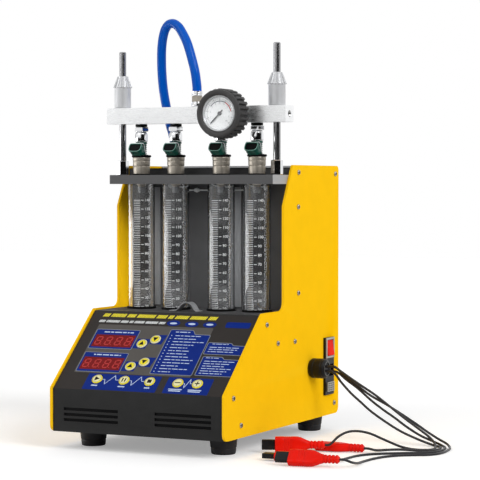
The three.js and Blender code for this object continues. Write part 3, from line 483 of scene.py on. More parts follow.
# %% Cord routes
plate_face = low_high("side_plate_right")[1].x
cord_diameter = 3.2
cord_starts = [(-3.1, 3.1), (3.1, 3.1), (-3.1, -3.1), (3.1, -3.1)]
cord_routes = [
    [
        (35, 80.8, 96.4), (45, 79.5, 90.8), (60, 77.5, 82.3), (75.2, 75.5, 74), (97, 73.8, 62),
        (119.2, 72, 47.5), (141, 69, 33.5), (162, 65, 21.5), (178, 60.5, 12.5), (188, 54, 6),
        (193.6, 43, 2.4), (196.4, 31, 1.6), (196, 20.5, 1.6), (188, 14.4, 1.6), (172.2, 14.8, 1.6),
        (158, 13.5, 4), (147, 5.5, 9.6), (137.4, -5, 16), (126.5, -14.5, 22.4), (115, -25, 26),
        (105, -35, 25.8), (96.5, -45, 21),
    ],
    [
        (37, 86.6, 93.5), (49, 83.5, 84.6), (67.2, 81.5, 73.3), (88, 79.5, 60.4), (112.1, 76.8, 49.5),
        (135, 74.8, 37.8), (156, 72.3, 26.6), (175, 68.5, 16.4), (190, 64.5, 9.6), (204, 57, 5.2),
        (213, 43.5, 2.2), (217, 25, 1.6), (218.6, 4, 1.6), (216, -13, 1.6), (207.5, -26, 1.6),
        (194.4, -34, 1.6), (179.2, -45.5, 1.6), (167, -64, 1.6), (160.5, -88, 1.6), (158.5, -115, 1.6),
        (161, -140, 3), (161, -158, 6.4),
    ],
    [
        (35.5, 81, 87.3), (46, 80.3, 75.6), (60.5, 78, 62.4), (76.1, 75, 51.2), (91.7, 71.7, 40.4),
        (113, 68.4, 28.4), (136.5, 65, 17), (156, 62.8, 10), (171.5, 61.5, 5.2), (185.5, 58.4, 2),
        (197, 50, 1.6), (202.2, 37, 1.6), (202.6, 21, 1.6), (195, 9.5, 1.6), (179.6, 6.6, 1.6),
        (159.2, 4.8, 1.6), (144, -7, 1.6), (138, -24, 3),
    ],
    [
        (37, 86.8, 88.4), (51, 84.2, 79.4), (69.5, 82.3, 68), (89.6, 78.6, 53.8), (107, 76.6, 42.8),
        (125, 74, 32.9), (143, 71, 22.3), (163, 69, 12.2), (177, 67.2, 7.4), (191.5, 62, 3.6),
        (203, 51.5, 1.6), (208.6, 36, 1.6), (210, 17, 1.6), (206.5, 0, 1.6), (193, -13.5, 1.6),
        (174, -25.5, 1.6), (157, -37.5, 1.6), (141.5, -53, 1.6), (132.5, -72, 1.6), (130, -95, 1.6),
        (130.5, -115, 2.4), (128.5, -130, 4.6),
    ],
]
plug_length = 80
plug_places = [
    {"x": 10, "y": -91.5, "turn": 24, "roll": 90},
    {"x": 71, "y": -180.5, "turn": 9, "roll": 45},
    {"x": 47, "y": -39.5, "turn": 3, "roll": 0},
    {"x": 39, "y": -147.5, "turn": 6, "roll": 0},
]
print("cords:", len(cord_routes))

# %% Plugs
plug_half_width, plug_half_thickness = 10.5, 5.8
plug_corner = 4.5


def plug_rise(roll):
    """How high a plug's middle lies when its rounded-square section rests on the floor, rolled by
    an angle in degrees."""
    angle = math.radians(roll)
    bulge = plug_corner / (plug_corner - 1)
    wide, thick = abs(plug_half_width * math.sin(angle)), abs(plug_half_thickness * math.cos(angle))
    return (wide**bulge + thick**bulge) ** (1 / bulge) + clearance


def plug_section(x, half_width, half_thickness, power=plug_corner, sides=48):
    """A rounded rectangle across X, squarer with a higher power."""
    ring = []
    for i in range(sides):
        angle = 2 * math.pi * i / sides
        c, s = math.cos(angle), math.sin(angle)
        y = half_width * math.copysign(abs(c) ** (2 / power), c)
        z = half_thickness * math.copysign(abs(s) ** (2 / power), s)
        ring.append((x, y, z))
    return ring


plug_rows = [(17, 9.6, 4.9), (17.2, 10, 5.3), (17.8, 10.3, 5.6)]
for groove in (29, 31.4, 33.8, 36.2):
    plug_rows += [(groove - 0.7, 10.35, 5.65), (groove, 9.9, 5.25), (groove + 0.7, 10.35, 5.65)]
plug_rows += [(41, 10.4, 5.7), (46, 10.3, 5.7, 4), (49.5, 9.5, 5.6, 3.5), (53, 8, 5.5, 3),
              (56.5, 6.4, 5.3, 2.6), (59, 5.5, 5.1, 2.3), (61, 5.1, 5.0, 2)]
relief_rows = [(4.4, 59)]
for rib in range(4):
    start = 61.5 + rib * 4.6
    relief_rows += [(4.3, start), (5.3, start + 0.3), (5.2, start + 2.6), (4.3, start + 3)]
relief_rows += [(3.2, plug_length), (1.6, plug_length)]
for number, spot in enumerate(plug_places, start=1):
    rise = plug_rise(spot["roll"])
    place = at(plate_face + spot["x"], spot["y"], rise, turn_x=spot["roll"], turn_z=spot["turn"])
    body = loft(f"plug_body_{number}", [plug_section(*row) for row in plug_rows], red_plastic,
                slot="plug_red", matrix=place, replaces=[f"injector_plug_{number}"], sharp=50, baked=True)
    relief = turned(f"plug_relief_{number}", relief_rows, red_plastic, 0.3, 32, slot="plug_red",
                    matrix=place @ Matrix.Rotation(math.pi / 2, 4, "Y"), baked=True)
    tip = block_piece(f"plug_tip_{number}", (0.2, -6.4, -3.2), (19, 6.4, 3.2), black_plastic, 0.6,
                      slot="plug_red", matrix=place, baked=True)
    contacts = [block_piece(f"plug_contact_{number}_{side}", (0.05, y - 0.9, -1.3), (0.6, y + 0.9, 1.3),
                            brass, 0.1, slot="plug_red", matrix=place, baked=True)
                for side, y in (("left", -2.8), ("right", 2.8))]

# %% Cords
connector_low, connector_high = low_high("cable_connector")
connector_mouth = 1.5
exit_x = connector_high.x - connector_mouth + clearance
cord_in_plug = 36
connector_y = (connector_low.y + connector_high.y) / 2
connector_z = (connector_low.z + connector_high.z) / 2
for number, (route, (aside, above), spot) in enumerate(zip(cord_routes, cord_starts, plug_places), start=1):
    start = Vector((exit_x, connector_y + aside, connector_z + above))
    turn = math.radians(spot["turn"])
    outwards = Vector((math.cos(turn), math.sin(turn), 0))
    plug_start = Vector((plate_face + spot["x"], spot["y"], plug_rise(spot["roll"])))
    end = plug_start + outwards * (plug_length + clearance)
    points = [start, start + Vector((5, 0, 0))]
    points += [Vector((plate_face + x, y, z)) for x, y, z in route]
    points += [end + outwards * 5, end, end - outwards * 20, end - outwards * cord_in_plug]
    line = catmull_rom(points, 3.0)
    cord = curve_piece(f"plug_cord_{number}", line, cord_diameter, cord_skin,
                       replaces=[f"injector_cord_{number}"])

# %% Hose
hose_diameter = 12.4
fitting_low, fitting_high = low_high("hose_fitting")
cover_low, cover_high = low_high("rear_cover")
hose_start = Vector(((fitting_low.x + fitting_high.x) / 2, (fitting_low.y + fitting_high.y) / 2,
                     fitting_high.z + clearance))
hose_hole = Vector((-54.5, cover_low.y + 9.5, cover_high.z - 3.5))
hose_rise = [
    (0, 0, 0), (0, 0, 5.2), (-0.9, 0.1, 13.1), (-3.1, 0.3, 26.3), (-7.1, 1, 40.2), (-12, 2.3, 54.3),
    (-17.3, 3.8, 66.9), (-24.6, 6.3, 78.4), (-32.3, 8.8, 87.8), (-40.9, 11.3, 92.8), (-49.4, 13.8, 92.4),
]
hose_fall = [
    (-3.6, -22.3, 187.8), (-8.2, -20.3, 178.2), (-11.5, -18.3, 163.7), (-13.1, -16.3, 146.2),
    (-13.5, -14.5, 129.2), (-12.9, -13, 112.7), (-11.5, -11.6, 98.2), (-9.3, -9.8, 82.9), (-5.2, -6.8, 58.5),
    (-2.2, -5.1, 47), (-0.6, -3.6, 36), (0, -1, 18.2), (0, 0, 3), (0, 0, -11.8),
]
hose_points = [hose_start + Vector(p) for p in hose_rise] + [hose_hole + Vector(p) for p in hose_fall]
hose_line = catmull_rom(hose_points, 2.5)
hose_loops = []
side_way = Vector((0, 1, 0))
for i, point in enumerate(hose_line):
    along = (hose_line[min(i + 1, len(hose_line) - 1)] - hose_line[max(i - 1, 0)]).normalized()
    side_way = (side_way - along * side_way.dot(along)).normalized()
    up_way = along.cross(side_way)
    turns = [2 * math.pi * k / 32 for k in range(32)]
    hose_loops.append([tuple(point + (side_way * math.cos(t) + up_way * math.sin(t)) * hose_diameter / 2)
                       for t in turns])
hose = loft("rail_hose", hose_loops, hose_skin, body=None, slot="blue_hose", replaces=["pressure_hose"])
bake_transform(hose)
print(f"hose: {line_length(hose_line):.0f} mm")

# %% [markdown]
# ## Keeping CAD pieces
#
# The folded sheets, the rail and the bar already have their real form, so they stay. A small bevel
# modifier breaks their edges, as powder coat and a file do, and leaves the mesh itself alone.

# %% Finishes for kept pieces

def dress(node, material, edge=0.4):
    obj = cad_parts[node]
    if not obj.material_slots:
        obj.data.materials.append(material)
    for socket in obj.material_slots:
        socket.material = material
    if edge:
        bevel = obj.modifiers.new("broken edges", "BEVEL")
        bevel.width = edge * MM
        bevel.segments = 2
        bevel.limit_method = "ANGLE"
        bevel.angle_limit = math.radians(40)
    return obj


kept = {
    yellow_paint: ["side_plate_left", "side_plate_right"],
    black_coat: ["control_panel", "rear_cover", "base_pan"],
    wall_coat_with_painted_light: ["deck_sheet"],
    zinc: ["tube_seat_block"],
    anodised: ["clamp_bar"],
    brushed_aluminium: ["fuel_rail"],
    red_window: ["display_window_1", "display_window_2"],
    black_plastic: ["power_inlet"],
    needle_grey: ["gauge_needle"],
    rocker_red: ["power_rocker"],
    drawer_plastic: ["fuse_drawer"],
    tank_plastic: ["fluid_tank"],
    screw_steel: ["fuel_pump"],
    board_green: ["driver_board"],
}
for material, nodes in kept.items():
    for node in nodes:
        dress(node, material, 0.15 if node == "gauge_needle" else 0.4)
print("kept nodes:", sum(len(nodes) for nodes in kept.values()))

# %% [markdown]
# ## Measuring tubes
#
# Each tube is a thick glass cylinder, printed with a scale in millilitres that faces the user. The
# bore's area of 840 square millimetres makes 10 mL equal to 11.9 mm of height. The print is a set of
# thin strips bent onto the glass, and the numbers are text turned into a mesh and bent the same way.
# Clear glass hardly dims what stands behind it, so the tubes are told to cast no shadow. A black
# rubber ring seals each tube where it goes through the deck.

# %% Tubes with their scales
tube_low, tube_high = low_high("measuring_tube_1")
tube_radius = (tube_high.x - tube_low.x) / 2
tube_wall = 1.75
deck_top = 172.3
per_ten = 11.9
scale_zero = tube_low.z - 0.6
tick_left, tick_right, dash_left, dash_right, number_left = -18, 10, 14, 25, 30
scale_turns = [13, -3, 2, -1]


def wrap(x, z):
    """A flat point in millimetres, bent onto the tube. x is measured round the glass from its front."""
    angle = x / tube_radius
    r = tube_radius + 0.04
    return (r * math.sin(angle), -r * math.cos(angle), z)


def strip(x0, x1, z, width, steps=5):
    """A level line of the scale, from x0 to x1 round the glass."""
    points, faces = [], []
    for i in range(steps + 1):
        x = x0 + (x1 - x0) * i / steps
        points += [wrap(x, z - width / 2), wrap(x, z + width / 2)]
    for i in range(steps):
        faces.append((2 * i, 2 * i + 2, 2 * i + 3, 2 * i + 1))
    return points, faces


def text_shape(words, size):
    """Flat letters as (points, faces) in millimetres, with the origin at their middle left."""
    curve = bpy.data.curves.new("words", "FONT")
    curve.body = words
    curve.size = size * MM
    curve.align_y = "CENTER"
    curve.resolution_u = 2
    holder = bpy.data.objects.new("words", curve)
    scene.collection.objects.link(holder)
    bpy.context.view_layer.update()
    mesh = holder.to_mesh()
    points = [tuple(v.co / MM) for v in mesh.vertices]
    faces = [tuple(p.vertices) for p in mesh.polygons]
    holder.to_mesh_clear()
    bpy.data.objects.remove(holder)
    bpy.data.curves.remove(curve)
    return points, faces


def gather(shapes):
    """Several (points, faces) shapes as one."""
    points, faces = [], []
    for shape_points, shape_faces in shapes:
        base = len(points)
        points += shape_points
        faces += [tuple(base + i for i in face) for face in shape_faces]
    return points, faces


scale_shapes = []
to_arc = math.radians(1) * tube_radius
for step in range(5, 71):
    height = scale_zero + per_ten * step / 5
    if step % 5:
        scale_shapes.append(strip(tick_left * to_arc, tick_right * to_arc, height, 0.45))
    else:
        scale_shapes.append(strip(tick_left * to_arc, tick_right * to_arc, height, 0.7))
        scale_shapes.append(strip(dash_left * to_arc, dash_right * to_arc, height, 0.7))
        points, faces = text_shape(f"{step * 2}", 5.2)
        bent = [wrap(x + number_left * to_arc, height + y) for x, y, z in points]
        scale_shapes.append((bent, faces))
scale_points, scale_faces = gather(scale_shapes)
tube_bore = tube_radius - tube_wall
ring = [(tube_bore, tube_low.z), (tube_radius, tube_low.z), (tube_radius, tube_high.z),
        (tube_bore, tube_high.z)]
gasket_rows = [(0.05, 0.1), (1.7, 0.1), (1.6, 2.5), (0.8, 3.3), (0.05, 3.3)]
gasket = [(tube_radius + out, deck_top + up) for out, up in gasket_rows]
for number, turn in enumerate(scale_turns, start=1):
    place = standing(f"measuring_tube_{number}")
    tube = turned(f"glass_tube_{number}", ring, tube_glass, 0.5, 96, closed=True, slot="tube_glass",
                  matrix=place, replaces=[f"measuring_tube_{number}"])
    tube.visible_shadow = False
    turned(f"tube_gasket_{number}", gasket, black_and_painted_shade, 0.2, 64, closed=True, slot="tube_glass",
           matrix=place)
    mesh_piece(f"tube_scale_{number}", scale_points, scale_faces, white_ink, slot="tube_glass",
               matrix=standing(f"measuring_tube_{number}", turn))
print("scale marks:", len(scale_shapes))

# %% [markdown]
# ## Posts and clamp nuts
#
# A post is a drawn rod, screwed into the bar through a hexagon collar and threaded above the rail. A
# thread this fine reads as a row of grooves, so turned rings are enough and no helix is needed. The
# nuts have a finely knurled body and a fluted cone, made by letting the radius swing as the loop
# goes round.

# %% Posts
knurled = finish("knurled aluminium", srgb(196, 197, 199), 0.45, 0.55, speck=0.4, stretch=(1, 1, 40),
                 relief=0.05, mottle=0.05, spread=0.12)
rail_low, rail_high = low_high("fuel_rail")
thread_pitch = 1.5
post_radius = 4.8


def hexagon(radius, height):
    """A regular hexagon across Z, with two points on each side so that lofts stay even."""
    corners = circle_loop(radius, height, 6)
    ring = []
    for i, corner in enumerate(corners):
        after = Vector(corners[(i + 1) % 6])
        ring += [corner, tuple(Vector(corner).lerp(after, 0.5))]
    return ring


collar_low, collar_high = 352.6, 371.6
collar = [hexagon(r, z) for r, z in ((7.4, collar_low), (8, collar_low + 0.6), (8, collar_high - 0.8),
                                     (7.2, collar_high), (5.1, collar_high + 0.4))]
for side in ("left", "right"):
    low, high = low_high(f"post_{side}")
    profile = [(0, low.z), (post_radius, low.z), (post_radius, rail_high.z - 1)]
    height = rail_high.z
    while height < high.z - 1.5:
        profile += [(post_radius, height), (post_radius - 0.08, height + thread_pitch * 0.5)]
        height += thread_pitch
    profile += [(post_radius, height), (post_radius - 1, high.z), (0, high.z)]
    turned(f"post_rod_{side}", profile, bright_rod, 0.12, 40, slot="bright_steel",
           matrix=standing(f"post_{side}"), replaces=[f"post_{side}"])
    loft(f"post_collar_{side}", collar, chrome, slot="bright_steel", matrix=standing(f"post_{side}", 30),
         sharp=20)
print("thread:", thread_pitch, "mm pitch")

# %% Clamp nuts


def flutes(angle, depth):
    """Fourteen ribs with narrow grooves between them."""
    swing = math.cos(14 * angle)
    return -depth * min(max((0.1 - swing) * 2.6, 0), 1)


for side in ("left", "right"):
    low, high = low_high(f"clamp_nut_{side}")
    cone_start = low.z + 27.5
    rows = [(5.1, low.z, 0), (10.6, low.z, 0), (11.2, low.z + 0.6, 0), (11.2, cone_start - 0.1, 0),
            (12.7, cone_start, 1.5), (12.9, cone_start + 0.5, 1.6), (7.3, high.z - 0.5, 1.2),
            (6.9, high.z, 1.0), (5.1, high.z, 0)]
    loops = [circle_loop(r, z, 168, lambda angle, d=depth: flutes(angle, d)) for r, z, depth in rows]
    loft(f"nut_form_{side}", loops, knurled, closed=True, body=f"nut_{side}", slot="turned_aluminium",
         matrix=standing(f"clamp_nut_{side}"), replaces=[f"clamp_nut_{side}"], sharp=30)
print("nuts:", 2)

# %% [markdown]
# ## Adapters under the rail
#
# Each adapter is a plated cup that takes the injector's sealing ring, with a hexagon above it and a
# black washer under the rail. Polished plating shows mostly what surrounds it, so small fillets and
# the round shoulder matter more here than colour.

# %% Adapters
for number in range(1, 5):
    low, high = low_high(f"rail_adapter_{number}")
    place = standing(f"rail_adapter_{number}")
    foot = low.z
    profile = [(4.3, foot), (8.2, foot), (8.7, foot + 0.6), (8.7, foot + 8.6), (8.3, foot + 10.8),
               (7.2, foot + 12.5), (6.2, foot + 13.4), (5.6, foot + 13.5), (5.6, foot + 19.4),
               (5, foot + 19.5), (5, high.z), (4.3, high.z)]
    turned(f"adapter_{number}", profile, chrome, 0.4, 64, closed=True, body="rail", slot="adapter_chrome",
           matrix=place, replaces=[f"rail_adapter_{number}"])
    nut_rows = ((8.6, foot + 13.4), (9.7, foot + 13.8), (10.2, foot + 14.6), (10.2, foot + 18.3),
                (9.7, foot + 19.1), (8.6, foot + 19.5))
    loft(f"adapter_nut_{number}", [hexagon(r, z) for r, z in nut_rows], chrome, body="rail",
         slot="adapter_chrome", matrix=standing(f"rail_adapter_{number}", 5), sharp=20)
    washer = [(5.1, foot + 19.9), (7.9, foot + 19.9), (8, foot + 21.5), (7.9, foot + 23.1),
              (5.1, foot + 23.1)]
    turned(f"adapter_washer_{number}", washer, black_and_painted_shade, 0.3, 48, closed=True, body="rail",
           slot="gauge_rubber", matrix=place)
print("adapters:", 4)

# %% Port in the rail's end
rail_centre = (rail_low + rail_high) / 2
port_place = at(rail_high.x - 3.4, rail_centre.y, rail_centre.z, turn_y=90)
# The black disc at the port's bottom is painted shade in the recess.
turned("rail_port_shade_disc", [(0, 0), (4.4, 0), (4.4, 0.3), (0, 0.3)], black_and_painted_shade, 0.05, 32, body="rail",
       slot="brushed_rail", matrix=port_place)
thread = []
for turn_number in range(3):
    z = 0.4 + turn_number * 0.95
    thread += [(4.55, z), (4.1, z + 0.45)]
thread += [(4.55, 3.3)]
thread_loops = [circle_loop(r, z, 40) for r, z in thread]
loft("rail_port_thread", thread_loops, screw_steel, capped=False, body="rail", slot="brushed_rail",
     matrix=port_place)
print("rail from", round(rail_low.x, 1), "to", round(rail_high.x, 1), "mm")

# %% [markdown]
# ## Injectors
#
# An injector is a plated body with a black sealing disc and a moulded green top. Its connector is a
# hood that points out and up, with two pins and a wire bail that snaps over the plug. A black lining
# in its socket is painted shade, and its pale green rim is a painted highlight.
# The hood is a loft of D-shaped loops that turns inwards at the mouth and ends at the socket's floor.
# A smoky spray tip hangs below the body, inside the tube.

# %% One injector's loops


def hood_loop(width, height, out, top, foot):
    """A D-shaped loop across Z: flat above, well rounded below."""
    x, y = width / 2, height / 2
    corners = [(-x, y, out), (x, y, out), (x, -y, out), (-x, -y, out)]
    ring = []
    for i, radius in enumerate((top, top, foot, foot)):
        here = Vector(corners[i])
        start = here + (Vector(corners[i - 1]) - here).normalized() * min(radius, y)
        end = here + (Vector(corners[(i + 1) % 4]) - here).normalized() * min(radius, y)
        for step in range(7):
            t = step / 6
            ring.append(tuple(start * (1 - t) ** 2 + here * 2 * t * (1 - t) + end * t**2))
    return ring


hood_outside = [(10.5, 9.5, 0), (11, 10, 4), (12.8, 11, 6.4), (17.4, 12.4, 9), (18.2, 12.8, 12.4),
                (19.3, 13.5, 12.8), (19.3, 13.5, 14.8), (18.4, 12.9, 15.2), (18.4, 12.9, 19.4),
                (19.3, 13.4, 19.9), (19.3, 13.4, 21.6), (18.8, 13, 22)]
hood_inside = [(16.6, 10.8, 22), (16.3, 10.5, 21.5), (16.2, 10.4, 9)]
hood_loops = [hood_loop(*row, 3.4, 7.2) for row in hood_outside]
hood_loops += [hood_loop(w, h, out, 2.4, 5.9) for w, h, out in hood_inside]
# Black loops inside the hood, as painted shade in the socket.
socket_shade_rows = [(16.1, 10.3, 21.2), (16.1, 10.3, 9.1), (0.2, 0.2, 9.05)]
socket_shade = [hood_loop(w, h, out, 2.4, 5.9) for w, h, out in socket_shade_rows]
rim = [hood_loop(18.9, 13.1, 21.7, 3.4, 7.2), hood_loop(18.6, 12.8, 22.12, 3.3, 7.1),
       hood_loop(17.4, 11.6, 22.12, 2.6, 6.3), hood_loop(17.2, 11.4, 21.7, 2.5, 6.2)]
bail_points = round_corners([(-6, -4.2, 1.5), (-10.4, -3.4, 3), (-10.4, 7.7, 20.2), (10.4, 7.7, 20.2),
                             (10.4, -3.4, 3), (6, -4.2, 1.5)], 2.2, steps=5)
print("hood loops:", len(hood_loops))

# %% Four injectors
bar_high = low_high("clamp_bar")[1]
for number in range(1, 5):
    low, high = low_high(f"injector_{number}")
    centre_x = (low.x + high.x) / 2
    centre_y = middle(f"measuring_tube_{number}").y
    place = at(centre_x, centre_y, 0)
    on_body = {"slot": "injector_steel", "matrix": place}
    foot, top = bar_high.z + clearance, bar_high.z + 24.8
    body_profile = [
        (0, low.z), (4.4, low.z), (5, low.z + 1.6), (6.5, low.z + 3), (6.5, foot), (10.7, foot),
        (11.1, foot + 0.7), (11.35, foot + 11.2), (10.95, foot + 11.5), (10.95, foot + 12),
        (11.5, foot + 12.3), (11.65, foot + 17.9), (11.3, foot + 18.2), (11.3, foot + 18.6),
        (11.75, foot + 18.9), (11.9, foot + 22.6), (11.6, top - 1), (5.4, top - 0.8), (0, top - 0.8),
    ]
    turned(f"injector_body_{number}", body_profile, injector_steel, 0.25, 64, **on_body,
           replaces=[f"injector_{number}"])
    seal = [(6.7, foot - 0.25), (11.9, foot - 0.25), (12.2, foot + 0.6), (11.9, foot + 1.5),
            (6.7, foot + 1.5)]
    turned(f"injector_seal_{number}", seal, black_and_painted_shade, 0.4, 48, closed=True, **on_body)
    disc = [(0, top - 0.9), (12.4, top - 0.9), (13.1, top - 0.3), (13.1, top + 1.4), (12.4, top + 2.1),
            (0, top + 2.1)]
    turned(f"injector_disc_{number}", disc, black_and_painted_shade, 0.5, 48, **on_body)
    neck = [(0, top + 1.9), (9.4, top + 1.9), (9.2, top + 2.6), (7.4, top + 2.9)]
    for rib in range(5):
        z = top + 3.4 + rib * 2.7
        neck += [(6.1, z), (7.2, z + 0.4), (7.2, z + 1.7), (6.1, z + 2.1)]
    neck += [(6.1, top + 16.6), (7.8, top + 17), (7.8, top + 19.3), (6.8, top + 20), (0, top + 20)]
    turned(f"injector_neck_{number}", neck, green_plastic, 0.3, 48, **on_body)
    stem = [(0, top + 19.8), (4, top + 19.8), (4, top + 24), (3.4, top + 24.3), (3.4, top + 26),
            (4, top + 26.3), (4, high.z - 0.5), (3.4, high.z), (0, high.z)]
    turned(f"injector_stem_{number}", stem, screw_steel, 0.2, 32, **on_body)
    hood_place = at(centre_x, centre_y, top + 0.5, turn_x=58)
    on_hood = {"slot": "injector_steel", "matrix": hood_place}
    loft(f"injector_hood_{number}", hood_loops, green_plastic, **on_hood, sharp=30)
    # The black lining is painted shade inside the hood's socket.
    loft(f"injector_socket_shade_{number}", socket_shade, black_and_painted_shade, **on_hood, sharp=30)
    for side, x in (("left", -2.8), ("right", 2.8)):
        block_piece(f"injector_pin_{number}_{side}", (x - 0.4, -1.4, 9), (x + 0.4, 1.4, 19), brass, 0.15,
                    **on_hood)
    bail = [hood_place @ (Vector(p) * MM) / MM for p in bail_points]
    curve_piece(f"injector_bail_{number}", bail, 1.1, spring_wire)
    # The rim's pale green is a painted highlight on the hood's mouth.
    loft(f"injector_rim_{number}", rim, green_rim_highlight, closed=True, **on_hood, sharp=30)
    tip = [(0, low.z - 8), (3.4, low.z - 8), (4.6, low.z - 7.4), (5.2, low.z - 0.8), (4.9, low.z - 0.2),
           (0, low.z - 0.2)]
    turned(f"spray_tip_{number}", tip, smoked_plastic, 0.3, 40, **on_body)
print("injectors:", 4)

# %% [markdown]
# ## Pressure gauge
#
# The gauge wears a rubber boot with a tread of blocks, like a small tyre. The tread is again a swing
# of the radius, but a square one, over nearly the whole depth of the boot. In front of the can lie a
# satin ring, a printed dial and a thin lens. The needle is a CAD piece and turns under the lens.

# %% Gauge boot and can
gauge_centre = middle("gauge_case")
gauge_place = at(gauge_centre.x, rail_low.y, gauge_centre.z, turn_x=90)
case_depth = rail_low.y - low_high("gauge_case")[0].y
boot_depth = rail_low.y - low_high("gauge_boot")[0].y
needle_front = rail_low.y - low_high("gauge_needle")[0].y
print("gauge: case", round(case_depth, 1), "boot", round(boot_depth, 1), "needle", round(needle_front, 1))


def tread(angle, depth):
    """Twenty-eight square grooves round the boot."""
    swing = math.cos(28 * angle)
    return -1.35 * depth * min(max((-0.12 - swing) * 3.5, 0), 1)


on_gauge = {"body": "rail", "slot": "gauge_metal", "matrix": gauge_place}
boot_rows = [(27.3, 8.5, 0), (31, 8.5, 1.2), (32.2, 9, 2), (32.4, 10, 2.2), (32.4, 19.4, 2.2), (32, 19.9, 2),
             (32, 20.7, 2), (32.4, 21.2, 2.2), (32.4, 31.2, 2.2), (32.2, 32.4, 1.4), (31.4, 33.2, 0.2),
             (30.9, 33.8, 0), (31.2, 34.6, 0), (31.2, 35.4, 0), (30.6, 36.8, 0), (29.6, 37.5, 0),
             (28.4, boot_depth, 0), (26.6, boot_depth - 0.2, 0), (25.4, boot_depth - 0.9, 0), (24.2, 35.6, 0),
             (23.6, 34.8, 0), (27.3, 34.6, 0)]
boot_loops = [circle_loop(r, z, 240, lambda angle, d=depth: tread(angle, d)) for r, z, depth in boot_rows]
loft("gauge_boot_form", boot_loops, boot_rubber, closed=True, body="rail", slot="gauge_rubber",
     matrix=gauge_place, replaces=["gauge_boot"], sharp=28)
can = [(0, 0.3), (6.4, 0.3), (7.8, 1), (8, 2), (8, 7), (8.6, 8.1), (25.4, 8.5), (26.6, 9.2), (27, 10.4),
       (27, case_depth), (23.6, case_depth), (23.5, 30.6), (0, 30.4)]
turned("gauge_can", can, screw_steel, 0.4, 96, **on_gauge, replaces=["gauge_case"])
ring_rows = [(23.4, 30.7), (23.4, 34.2), (22.9, 34.5), (22.2, 34.3), (21.4, 33.2), (21.2, 32), (21.2, 30.7)]
turned("gauge_ring", ring_rows, ring_grey, 0.25, 96, closed=True, **on_gauge)
lens = turned("gauge_lens", [(0, 33.0), (21.1, 32.6), (21.1, 33.0), (0, 33.6)], lens_glass, 0.1, 96,
              **on_gauge)
lens.visible_shadow = False

# %% [markdown]
# The dial runs clockwise from the lower left to the lower right, over 270 degrees. Its marks are flat
# quads and its numbers are small text meshes, all laid just above the printed disc.

# %% Dial print


def dial_point(radius, turn, height):
    """A point on the dial. The turn is in degrees, clockwise from straight up."""
    angle = math.radians(turn)
    return (radius * math.sin(angle), radius * math.cos(angle), height)


def dial_arc(inner, outer, start, end, height, steps=40):
    points, faces = [], []
    for i in range(steps + 1):
        turn = start + (end - start) * i / steps
        points += [dial_point(inner, turn, height), dial_point(outer, turn, height)]
    for i in range(steps):
        faces.append((2 * i, 2 * i + 1, 2 * i + 3, 2 * i + 2))
    return points, faces


def dial_mark(inner, outer, turn, width, height):
    angle = math.radians(turn)
    aside = Vector((math.cos(angle), -math.sin(angle), 0)) * width / 2
    low, high = Vector(dial_point(inner, turn, height)), Vector(dial_point(outer, turn, height))
    return [tuple(low - aside), tuple(low + aside), tuple(high + aside), tuple(high - aside)], [(0, 1, 2, 3)]


dial_height = 30.75
turned("gauge_dial", [(0, 30.45), (21.2, 30.45), (21.2, dial_height - 0.05), (0, dial_height - 0.05)],
       dial_white, 0.02, 96, **on_gauge)
dial_from, dial_to = -135, 135
marks = [dial_arc(17.9, 18.15, dial_from, dial_to, dial_height, 80)]
for step in range(41):
    turn = dial_from + (dial_to - dial_from) * step / 40
    if step % 4:
        marks.append(dial_mark(17.9, 19.2, turn, 0.22, dial_height))
    else:
        marks.append(dial_mark(16.4, 19.9, turn, 0.5, dial_height))
        points, faces = text_shape(f"{step // 4}", 3.2)
        middle_x = (min(p[0] for p in points) + max(p[0] for p in points)) / 2
        spot = dial_point(13.6, turn, dial_height)
        marks.append(([(x - middle_x + spot[0], y + spot[1], dial_height) for x, y, z in points], faces))
mark_points, mark_faces = gather(marks)
mesh_piece("dial_marks", mark_points, mark_faces, dial_ink, **on_gauge)
for name, arc_start, arc_end, arc_ink in (("dial_red_arc", 30, 81, red_ink),
                                          ("dial_grey_arc", -54, 30, grey_ink)):
    arc_points, arc_faces = dial_arc(15.2, 16.4, arc_start, arc_end, dial_height + 0.02)
    mesh_piece(name, arc_points, arc_faces, arc_ink, **on_gauge)
print("dial marks:", len(marks))

# %% [markdown]
# ## Hose fittings
#
# A plated fitting screws into the rail and grips the hose in a ferrule. Where the hose enters the
# cover it passes through a flanged bushing with a hexagon nut.

# %% Hose fittings
on_rail = {"body": "rail", "slot": "fitting_chrome", "matrix": at(hose_start.x, hose_start.y, 0)}
on_cover = {"slot": "fitting_chrome", "matrix": at(hose_hole.x, hose_hole.y, hose_hole.z)}
boss = rail_high.z + clearance
fitting_top = fitting_high.z
rings = [(0, boss), (6.8, boss), (7.5, boss + 0.8), (7.5, boss + 4.6), (6.6, boss + 5.2), (6.6, boss + 6.7),
         (0, boss + 6.7)]
turned("hose_boss", rings, chrome, 0.4, 48, **on_rail, replaces=["hose_fitting"])
nut_rows = [(6.9, boss + 6.4), (7.8, boss + 7.2), (7.8, boss + 13.6), (6.9, boss + 14.4)]
loft("hose_nut", [hexagon(r, z) for r, z in nut_rows], injector_steel, **on_rail, sharp=20)
ferrule = [(6.3, boss + 14.5), (6.9, boss + 14.5), (7.3, boss + 15), (7.3, boss + 15.9), (6.9, boss + 16.3),
           (6.9, boss + 17), (7.3, boss + 17.4), (7.3, boss + 18.3), (6.9, boss + 18.7), (7.1, boss + 19.3),
           (7.4, fitting_top + 0.9), (7, fitting_top + 1.2), (6.3, fitting_top + 1.2)]
turned("hose_ferrule", ferrule, chrome, 0.25, 48, closed=True, **on_rail)
bushing_rows = [(6.5, -2), (7.1, -2), (7.1, 0.1), (9.2, 0.1), (9.4, 0.9), (8.8, 1.7), (7.6, 1.9), (7.6, 8.6),
                (7.1, 9.6), (6.5, 9.6)]
turned("hose_bushing", bushing_rows, black_plastic, 0.3, 48, closed=True, **on_cover)
